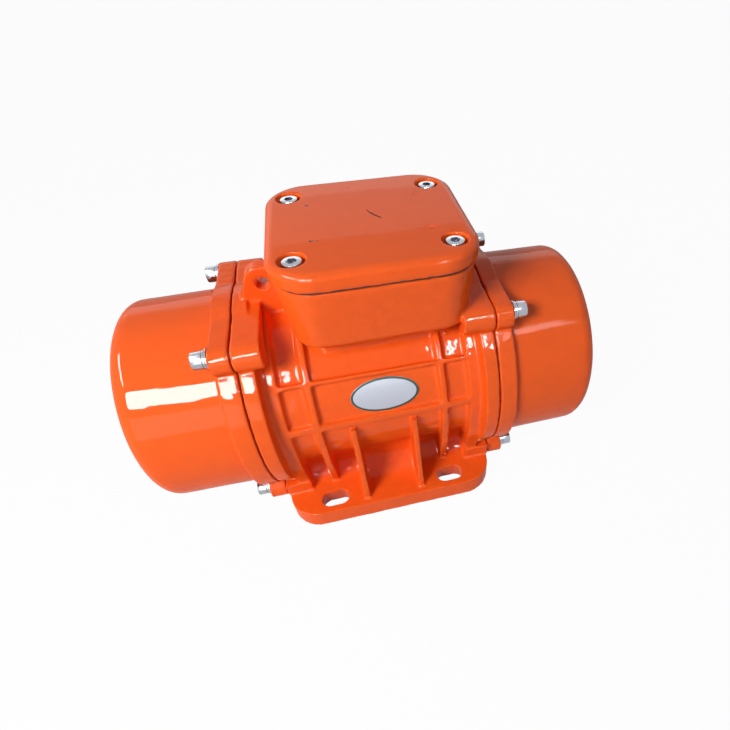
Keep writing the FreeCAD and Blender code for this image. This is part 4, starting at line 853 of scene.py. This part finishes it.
class WeightCover:
    """A deep cup that closes one end of the motor."""

    def __init__(self, sizes: CoverSizes, flange: FlangeSizes, end: int, word: str) -> None:
        """Keep the sizes; end is -1 on the left and 1 on the right."""
        self.s = sizes
        self.flange = flange
        self.end = end
        self.word = word

    def build(self) -> None:
        """Make the cup and let it stand for its CAD node."""
        s, f = self.s, self.flange
        face = f.seam_x + s.flange
        far = s.radius - s.draft
        inner = s.end_edge - s.wall
        profile = (
            [(f.seam_x, f.register_radius), (f.seam_x, f.radius), (face, f.radius),
             (face, s.radius + 0.6), (face + 0.6, s.radius)]
            + [(x, r) for x, r in arc(s.end_x - s.end_edge, far - s.end_edge, s.end_edge, 90, 0)]
            + [(s.end_x, 0), (s.end_x - s.wall, 0)]
            + [(x, r) for x, r in arc(s.end_x - s.wall - inner, f.register_radius - inner,
                                      inner, 0, 90, 8)])
        pieces = [lathe("cup", profile, (0, 0, AXIS_HEIGHT), (1, 0, 0), 256)]
        pieces += f.blocks(f.seam_x, face, face)
        cover = COVER_SKIN.melt(f"{self.word}_cover_casting", pieces)
        roughened(cover, *FLANGE_LUMP, lambda p: p.x < face + 0.5)
        roughened(cover, SEAM_LUMP, COVER_SEAM_DEPTH, lambda p: p.x < f.seam_x + 1.0)
        if self.end < 0:
            cover.data.transform(Matrix.Rotation(math.pi, 4, "Z"))
        show(cover, SMOOTH_PAINT, f"{self.word}_weight_cover")


@dataclass(frozen=True)
class LidSizes:
    """Sizes of the terminal box lid in millimetres."""

    x: float = 8.7
    half: Flat = (46.0, 44.7)
    corner: float = 20.0
    bottom: float = 81.3
    thickness: float = 8.1
    edge: Flat = (4.2, 2.6)
    screws: Flat = (34.6, 29.4)
    seat_radius: float = 5.8
    seat_depth: float = 5.6
    pits: tuple[tuple[float, float, float], ...] = ((-17.3, 18.5, 0.8), (-17.2, -16.1, 0.9),
                                                    (-14.6, -16.6, 0.4), (3.6, 33.2, 0.3))
    scratch: tuple[Flat, Flat] = ((9.5, 7.8), (15.9, -3.1))
    scratch_bow: float = 3.4
    scratch_half_width: float = 0.5
    scratch_depth: float = 0.35
    blisters: tuple[tuple[float, float, float], ...] = ((35.6, 18.4, 1.5), (34.9, -16.8, 2.0))


class TerminalLid:
    """The flat lid with a sunk screw in each corner."""

    def __init__(self, sizes: LidSizes) -> None:
        """Keep the sizes."""
        self.s = sizes

    def build(self) -> None:
        """Make the lid and let it stand for its CAD node."""
        s = self.s
        bottom = AXIS_HEIGHT + s.bottom
        top = bottom + s.thickness
        levels = [(0.0, 0.35), (0.35, 0.0)]
        along, down = s.edge
        levels += [(s.thickness - down * (1 - math.sin(math.radians(a))),
                    along * (1 - math.cos(math.radians(a)))) for a in range(0, 91, 6)]
        sections = []
        for height, inset in levels:
            hx, hy = s.half[0] - inset, s.half[1] - inset
            sections.append((bottom + height, rounded_rectangle(
                s.x - hx, s.x + hx, -hy, hy, s.corner - inset, 24)))
        lid = loft("lid", Plane.XY, sections)
        tools = []
        for x, y in self.places():
            tools.append(lathe("seat", [
                (0, 0), (s.seat_depth - 0.5, 0), (s.seat_depth + 0.1, 0),
                (s.seat_depth + 0.1, s.seat_radius + 0.55),
                (s.seat_depth - 0.12, s.seat_radius + 0.3),
                (s.seat_depth - 0.5, s.seat_radius + 0.06), (s.seat_depth - 0.9, s.seat_radius),
                (0, s.seat_radius)], (x, y, top - s.seat_depth), (0, 0, 1), 72))
            tools.append(lathe("passage", [(-9, 0), (1, 0), (1, 2.75), (-9, 2.75)],
                               (x, y, top - s.seat_depth), (0, 0, 1), 48))
        plate = LID_SKIN.melt("terminal_lid_plate", [cut(lid, tools)])
        roughened(plate, SEAM_LUMP, LID_SEAM_DEPTH, lambda p: p.z < bottom + 1.2)
        plate.data.materials.append(SMOOTH_PAINT.material())
        show(cut(plate, [self.marks(top)]), SMOOTH_PAINT, "terminal_lid")

    def marks(self, top: float) -> bpy.types.Object:
        """A scratch, two pits and two blisters in the lid's paint, as one shallow tool."""
        s = self.s
        pieces = []
        start, stop = Vector(s.scratch[0]), Vector(s.scratch[1])
        across = Vector((stop.y - start.y, start.x - stop.x)).normalized()
        rails: list[list[Flat]] = [[], []]
        for step in range(1, 20):
            t = step / 20
            middle = start.lerp(stop, t) + across * (s.scratch_bow * t * (1 - t))
            half = across * (s.scratch_half_width * math.sin(math.pi * t) ** 0.7)
            rails[0].append(tuple(middle + half))
            rails[1].append(tuple(middle - half))
        scratch = prism("scratch", Plane.XY, rails[0] + rails[1][::-1],
                        top - s.scratch_depth, top + 1)
        # The scratch's dark brown is primer and painted shade in the groove.
        scratch.data.materials.append(PRIMER_AND_PAINTED_SHADE.material())
        pieces.append(scratch)
        for x, y, radius in s.pits:
            pieces.append(lathe("pit", [(-0.45, 0), (-0.35, radius * 0.7), (0, radius),
                                        (1, radius), (1, 0)], (x, y, top), (0, 0, 1), 20))
            # The pit's dark brown is painted shade in the hollow, in the primer's colour.
            pieces[-1].data.materials.append(PRIMER_AND_PAINTED_SHADE.material())
        for x, y, radius in s.blisters:
            pieces.append(lathe("blister", [(1, radius - 0.5), (-0.2, radius - 0.3),
                                            (-0.2, radius + 0.1), (1, radius + 0.3)],
                                (x, y, top), (0, 0, 1), 32))
            pieces[-1].data.materials.append(SMOOTH_PAINT.material())
        return joined("marks", pieces)

    def places(self) -> list[Flat]:
        """The (x, y) places of the four screws."""
        return [(self.s.x + sx * self.s.screws[0], sy * self.s.screws[1])
                for sx in (-1, 1) for sy in (-1, 1)]


# ---------------------------------------------------------------------------- small parts
LID_SCREW_LENGTH = 14.0
COVER_SCREW_LENGTH = 24.0


@dataclass(frozen=True)
class WasherSizes:
    """Sizes of a washer in millimetres."""

    radius: float
    thickness: float
    bore: float = 2.75


PLAIN_WASHER = WasherSizes(5.0, 1.0)
LOCK_WASHER = WasherSizes(4.4, 1.2)


@dataclass(frozen=True)
class ScrewSizes:
    """Sizes of an M5 socket head cap screw in millimetres."""

    head_radius: float = 4.25
    head_height: float = 5.0
    shank_radius: float = 2.5
    socket_radius: float = 2.3
    socket_depth: float = 2.6


def cap_screw(place: Sequence[float], axis: Sequence[float], length: float,
              sizes: ScrewSizes = ScrewSizes()) -> bpy.types.Object:
    """Make one socket head cap screw with its head's seat at a place.

    Args:
        place: Centre of the seat in millimetres.
        axis: Direction from the seat to the head's top.
        length: Length under the head.
        sizes: The screw's sizes.

    Returns:
        The screw as one mesh.
    """
    r, h = sizes.head_radius, sizes.head_height
    head = lathe("screw", [
        (-length, 0), (0, 0), (h, 0), (h, r - 0.55), (h - 0.12, r - 0.22), (h - 0.45, r - 0.02),
        (0.3, r), (0, r - 0.25), (0, sizes.shank_radius), (-length + 0.5, sizes.shank_radius),
        (-length, sizes.shank_radius - 0.5)], place, axis, 64)
    start = Vector(place) + Vector(axis) * (h - sizes.socket_depth)
    tool = lathe("socket", [(0, 0), (sizes.socket_depth + 1, 0),
                            (sizes.socket_depth + 1, sizes.socket_radius),
                            (0, sizes.socket_radius)], start, axis, 6)
    return cut(head, [tool])


def washer(place: Sequence[float], axis: Sequence[float], sizes: WasherSizes
           ) -> bpy.types.Object:
    """Make one washer with slightly rounded edges, standing on a place."""
    radius, bore, thickness = sizes.radius, sizes.bore, sizes.thickness
    e = min(0.25, thickness / 3)
    return lathe("washer", [
        (0, bore), (0, radius - e), (e, radius), (thickness - e, radius),
        (thickness, radius - e), (thickness, bore)], place, axis, 64)


class CoverFasteners:
    """The four screws that hold a cover, each on a lock washer and a plain washer."""

    def __init__(self, flange: FlangeSizes, cover: CoverSizes, end: int, word: str) -> None:
        """Keep the sizes; end is -1 on the left and 1 on the right."""
        self.flange = flange
        self.face = flange.seam_x + cover.flange
        self.end = end
        self.word = word

    def build(self) -> None:
        """Make the screws and washers and let them stand for their CAD nodes."""
        f = self.flange
        axis = (self.end, 0, 0)
        screws, plain, lock = [], [], []
        for y, up in ((-f.screw_y, f.screw_up), (f.screw_y, f.screw_up),
                      (-f.screw_y, -f.screw_down), (f.screw_y, -f.screw_down)):
            height = AXIS_HEIGHT + up
            on_plain, on_lock = self.face + 1.0, self.face + 2.2
            plain.append(washer((self.end * self.face, y, height), axis, PLAIN_WASHER))
            lock.append(washer((self.end * on_plain, y, height), axis, LOCK_WASHER))
            screws.append(cap_screw((self.end * on_lock, y, height), axis, COVER_SCREW_LENGTH))
        show(shade(joined(f"{self.word}_cover_cap_screws", screws)), ZINC,
             f"{self.word}_cover_screws")
        show(shade(joined(f"{self.word}_plain_washers", plain)), ZINC,
             f"{self.word}_cover_washers")
        show(shade(joined(f"{self.word}_spring_washers", lock)), ZINC,
             f"{self.word}_lock_washers")


class LidFasteners:
    """The four sunk screws of the terminal box lid."""

    def __init__(self, lid: TerminalLid) -> None:
        """Keep the lid that the screws hold."""
        self.lid = lid

    def build(self) -> None:
        """Make the screws and let them stand for their CAD node."""
        s = self.lid.s
        seat = AXIS_HEIGHT + s.bottom + s.thickness - s.seat_depth
        screws = [cap_screw((x, y, seat), (0, 0, 1), LID_SCREW_LENGTH)
                  for x, y in self.lid.places()]
        show(shade(joined("lid_cap_screws", screws)), ZINC, "lid_screws")


@dataclass(frozen=True)
class LabelSizes:
    """Sizes of the oval label in millimetres, and its angle on the barrel in degrees."""

    x: float = 3.0
    angle: float = 21.6
    half_length: float = 17.2
    half_height: float = 9.2
    barrel: float = 48.05
    thickness: float = 0.3
    rim: float = 1.2


class RatingLabel:
    """A blank oval label that follows the front of the barrel."""

    def __init__(self, sizes: LabelSizes) -> None:
        """Keep the sizes."""
        self.s = sizes

    def ring(self, mesh: bmesh.types.BMesh, inset: float, lift: float, steps: int = 96
             ) -> list[bmesh.types.BMVert]:
        """One oval ring of vertices on the barrel."""
        s = self.s
        made = []
        for i in range(steps):
            a = math.tau * i / steps
            x = s.x + (s.half_length - inset) * math.cos(a)
            rise = (s.half_height - inset) * math.sin(a)
            angle = math.radians(s.angle) + rise / s.barrel
            radius = s.barrel + lift
            made.append(mesh.verts.new((x, -radius * math.cos(angle),
                                        AXIS_HEIGHT + radius * math.sin(angle))))
        return made

    def build(self) -> None:
        """Make the label and let it stand for its CAD node."""
        s = self.s
        mesh = bmesh.new()
        rings = [self.ring(mesh, 0.0, 0.0), self.ring(mesh, 0.0, s.thickness - 0.06),
                 self.ring(mesh, 0.08, s.thickness), self.ring(mesh, s.rim, s.thickness)]
        fills = [s.rim + (s.half_height - s.rim) * k / 8 for k in range(1, 8)]
        rings += [self.ring(mesh, inset, s.thickness) for inset in fills]
        for index, (low, high) in enumerate(zip(rings, rings[1:])):
            for i in range(len(low)):
                j = (i + 1) % len(low)
                face = mesh.faces.new((low[i], low[j], high[j], high[i]))
                face.material_index = 1 if index == 2 else 0
        mesh.faces.new(rings[-1])
        mesh.faces.new(rings[0])
        plate = as_object("oval_label", mesh)
        plate.data.materials.append(LABEL_METAL.material())
        plate.data.materials.append(LABEL_INK.material())
        show(shade(plate), LABEL_METAL, "rating_label")


def finish_carried(frame: dict) -> None:
    """Give every CAD node that is still shown the finish of its material slot.
    """
    slots = {part["node"]: part["material_slot"] for part in frame["record"]["subparts"]}
    for name, item in frame["nodes"].items():
        finish = CARRIED_FINISHES.get(slots[name])
        if finish is not None:
            item.data.materials.clear()
            item.data.materials.append(finish.material())


# ---------------------------------------------------------------------------- studio
class Seen(Enum):
    """Which part of a surface a light falls on."""

    BY_MATT = "matt"
    BY_GLOSS = "gloss"


@dataclass(frozen=True)
class Softbox:
    """One rectangular studio light, in millimetres and watts."""

    name: str
    place: tuple[float, float, float]
    size: Flat
    power: float
    seen: Seen
    target: tuple[float, float, float] = (0.0, 0.0, 70.0)

    def build(self) -> None:
        """Hang the light and point it at its target."""
        data = bpy.data.lights.new(self.name, "AREA")
        data.shape = "RECTANGLE"
        data.size, data.size_y = self.size[0] * MM, self.size[1] * MM
        data.energy = self.power
        item = bpy.data.objects.new(self.name, data)
        item.visible_diffuse = self.seen is Seen.BY_MATT
        item.visible_glossy = self.seen is Seen.BY_GLOSS
        bpy.context.scene.collection.objects.link(item)
        place = Vector(self.place) * MM
        item.location = place
        item.rotation_mode = "QUATERNION"
        item.rotation_quaternion = (Vector(self.target) * MM - place).to_track_quat("-Z", "Y")


class Studio:
    """Camera, softboxes, white surroundings and a pale floor."""

    CAMERA = Vector((-5.4, -214.6, 256.8))
    BACK = Vector((-0.1735, -0.6725, 0.7195))
    RIGHT = Vector((0.968, -0.25, 0.0))
    PLAIN_SHARE = 0.96
    SKY = 0.22

    def build(self) -> None:
        """Set up everything that isn't part of the motor."""
        self.camera()
        self.world()
        self.floor()
        for box in (
            Softbox("key softbox", (-365, -370, 470), (220, 220), 4.15, Seen.BY_MATT),
            Softbox("fill softbox", (500, -700, 500), (500, 500), 0.45, Seen.BY_MATT),
            Softbox("left window", (-596, -1079, 1054), (595, 400), 52.0, Seen.BY_GLOSS),
            Softbox("narrow window", (379, -1111, 1090), (70, 440), 9.0, Seen.BY_GLOSS),
            Softbox("pale wall", (583, -972, 1165), (340, 130), 1.5, Seen.BY_GLOSS),
            Softbox("pale wall haze", (583, -972, 1165), (420, 200), 1.5, Seen.BY_GLOSS),
            Softbox("ceiling strip", (-1020, -187, 1292), (980, 190), 33.0, Seen.BY_GLOSS),
            Softbox("left wall", (-560, -1150, 330), (700, 500), 2.6, Seen.BY_GLOSS),
            Softbox("back wall", (0, 1500, 560), (2400, 420), 2.6, Seen.BY_GLOSS),
            Softbox("back wall top", (0, 1500, 640), (2400, 560), 3.0, Seen.BY_GLOSS),
        ):
            box.build()
        bpy.context.scene.view_settings.view_transform = "Standard"

    def camera(self) -> None:
        """Place the camera and aim it."""
        data = bpy.data.cameras.new("camera")
        data.sensor_width = 36.0
        data.lens = 23.76
        data.shift_x = -0.121
        data.shift_y = 0.0335
        data.clip_start, data.clip_end = 0.01, 20.0
        item = bpy.data.objects.new("camera", data)
        bpy.context.scene.collection.objects.link(item)
        back, right = self.BACK.normalized(), self.RIGHT.normalized()
        up = back.cross(right)
        turn = Matrix((right, up, back)).transposed()
        item.matrix_world = Matrix.Translation(self.CAMERA * MM) @ turn.to_4x4()
        bpy.context.scene.camera = item

    def world(self) -> None:
        """White to the camera, and softer white for everything that the light falls on."""
        world = bpy.data.worlds.new("white studio")
        bpy.context.scene.world = world
        world.use_nodes = True
        tree = world.node_tree
        tree.nodes.clear()
        plain = add_node(tree, "ShaderNodeBackground", {"Color": linear("#ffffff"),
                                                        "Strength": 1.0})
        lit = add_node(tree, "ShaderNodeBackground", {"Color": linear("#ffffff"),
                                                      "Strength": self.SKY})
        mix = add_node(tree, "ShaderNodeMixShader")
        out = add_node(tree, "ShaderNodeOutputWorld")
        tree.links.new(self.seen_directly(tree), mix.inputs[0])
        tree.links.new(lit.outputs[0], mix.inputs[1])
        tree.links.new(plain.outputs[0], mix.inputs[2])
        tree.links.new(mix.outputs[0], out.inputs["Surface"])

    def seen_directly(self, tree: bpy.types.NodeTree) -> bpy.types.NodeSocket:
        """1 for what the camera, a mirror or glass shows, and 0 for what only lights."""
        path = add_node(tree, "ShaderNodeLightPath")
        total = None
        for kind in ("Is Camera Ray", "Is Glossy Ray", "Is Transmission Ray"):
            if total is None:
                total = path.outputs[kind]
                continue
            either = add_node(tree, "ShaderNodeMath")
            either.operation = "MAXIMUM"
            tree.links.new(total, either.inputs[0])
            tree.links.new(path.outputs[kind], either.inputs[1])
            total = either.outputs[0]
        return total

    def floor(self) -> None:
        """A large white floor that keeps a faint shadow."""
        mesh = bmesh.new()
        reach = 4000.0
        corners = [mesh.verts.new((x, y, 0.0)) for x, y in
                   ((-reach, -reach), (reach, -reach), (reach, reach), (-reach, reach))]
        mesh.faces.new(corners)
        floor = as_object("studio_floor", mesh)
        floor.data.materials.append(self.paper())

    def paper(self) -> bpy.types.Material:
        """White paper: mostly plain white to the camera, and ordinary paper to the light."""
        made = bpy.data.materials.new("white paper")
        made.use_nodes = True
        tree = made.node_tree
        tree.nodes.clear()
        out = add_node(tree, "ShaderNodeOutputMaterial")
        lit = add_node(tree, "ShaderNodeBsdfDiffuse", {"Color": linear("#d8d8d8")})
        plain = add_node(tree, "ShaderNodeEmission", {"Color": linear("#ffffff"),
                                                      "Strength": 1.0})
        share = add_node(tree, "ShaderNodeMath", {1: self.PLAIN_SHARE})
        share.operation = "MULTIPLY"
        mix = add_node(tree, "ShaderNodeMixShader")
        tree.links.new(self.seen_directly(tree), share.inputs[0])
        tree.links.new(share.outputs[0], mix.inputs[0])
        tree.links.new(lit.outputs[0], mix.inputs[1])
        tree.links.new(plain.outputs[0], mix.inputs[2])
        tree.links.new(mix.outputs[0], out.inputs["Surface"])
        return made


def main() -> None:
    """Load the frame, and build every visual piece and the studio."""
    logging.basicConfig(level=logging.INFO, format="%(message)s")
    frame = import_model()
    flange = FlangeSizes()
    cover = CoverSizes()
    lid = TerminalLid(LidSizes())
    Housing(HousingSizes(), flange).build()
    lid.build()
    LidFasteners(lid).build()
    for end, word in ((-1, "left"), (1, "right")):
        WeightCover(cover, flange, end, word).build()
        CoverFasteners(flange, cover, end, word).build()
    RatingLabel(LabelSizes()).build()
    finish_carried(frame)
    Studio().build()


if __name__ == "__main__":
    main()
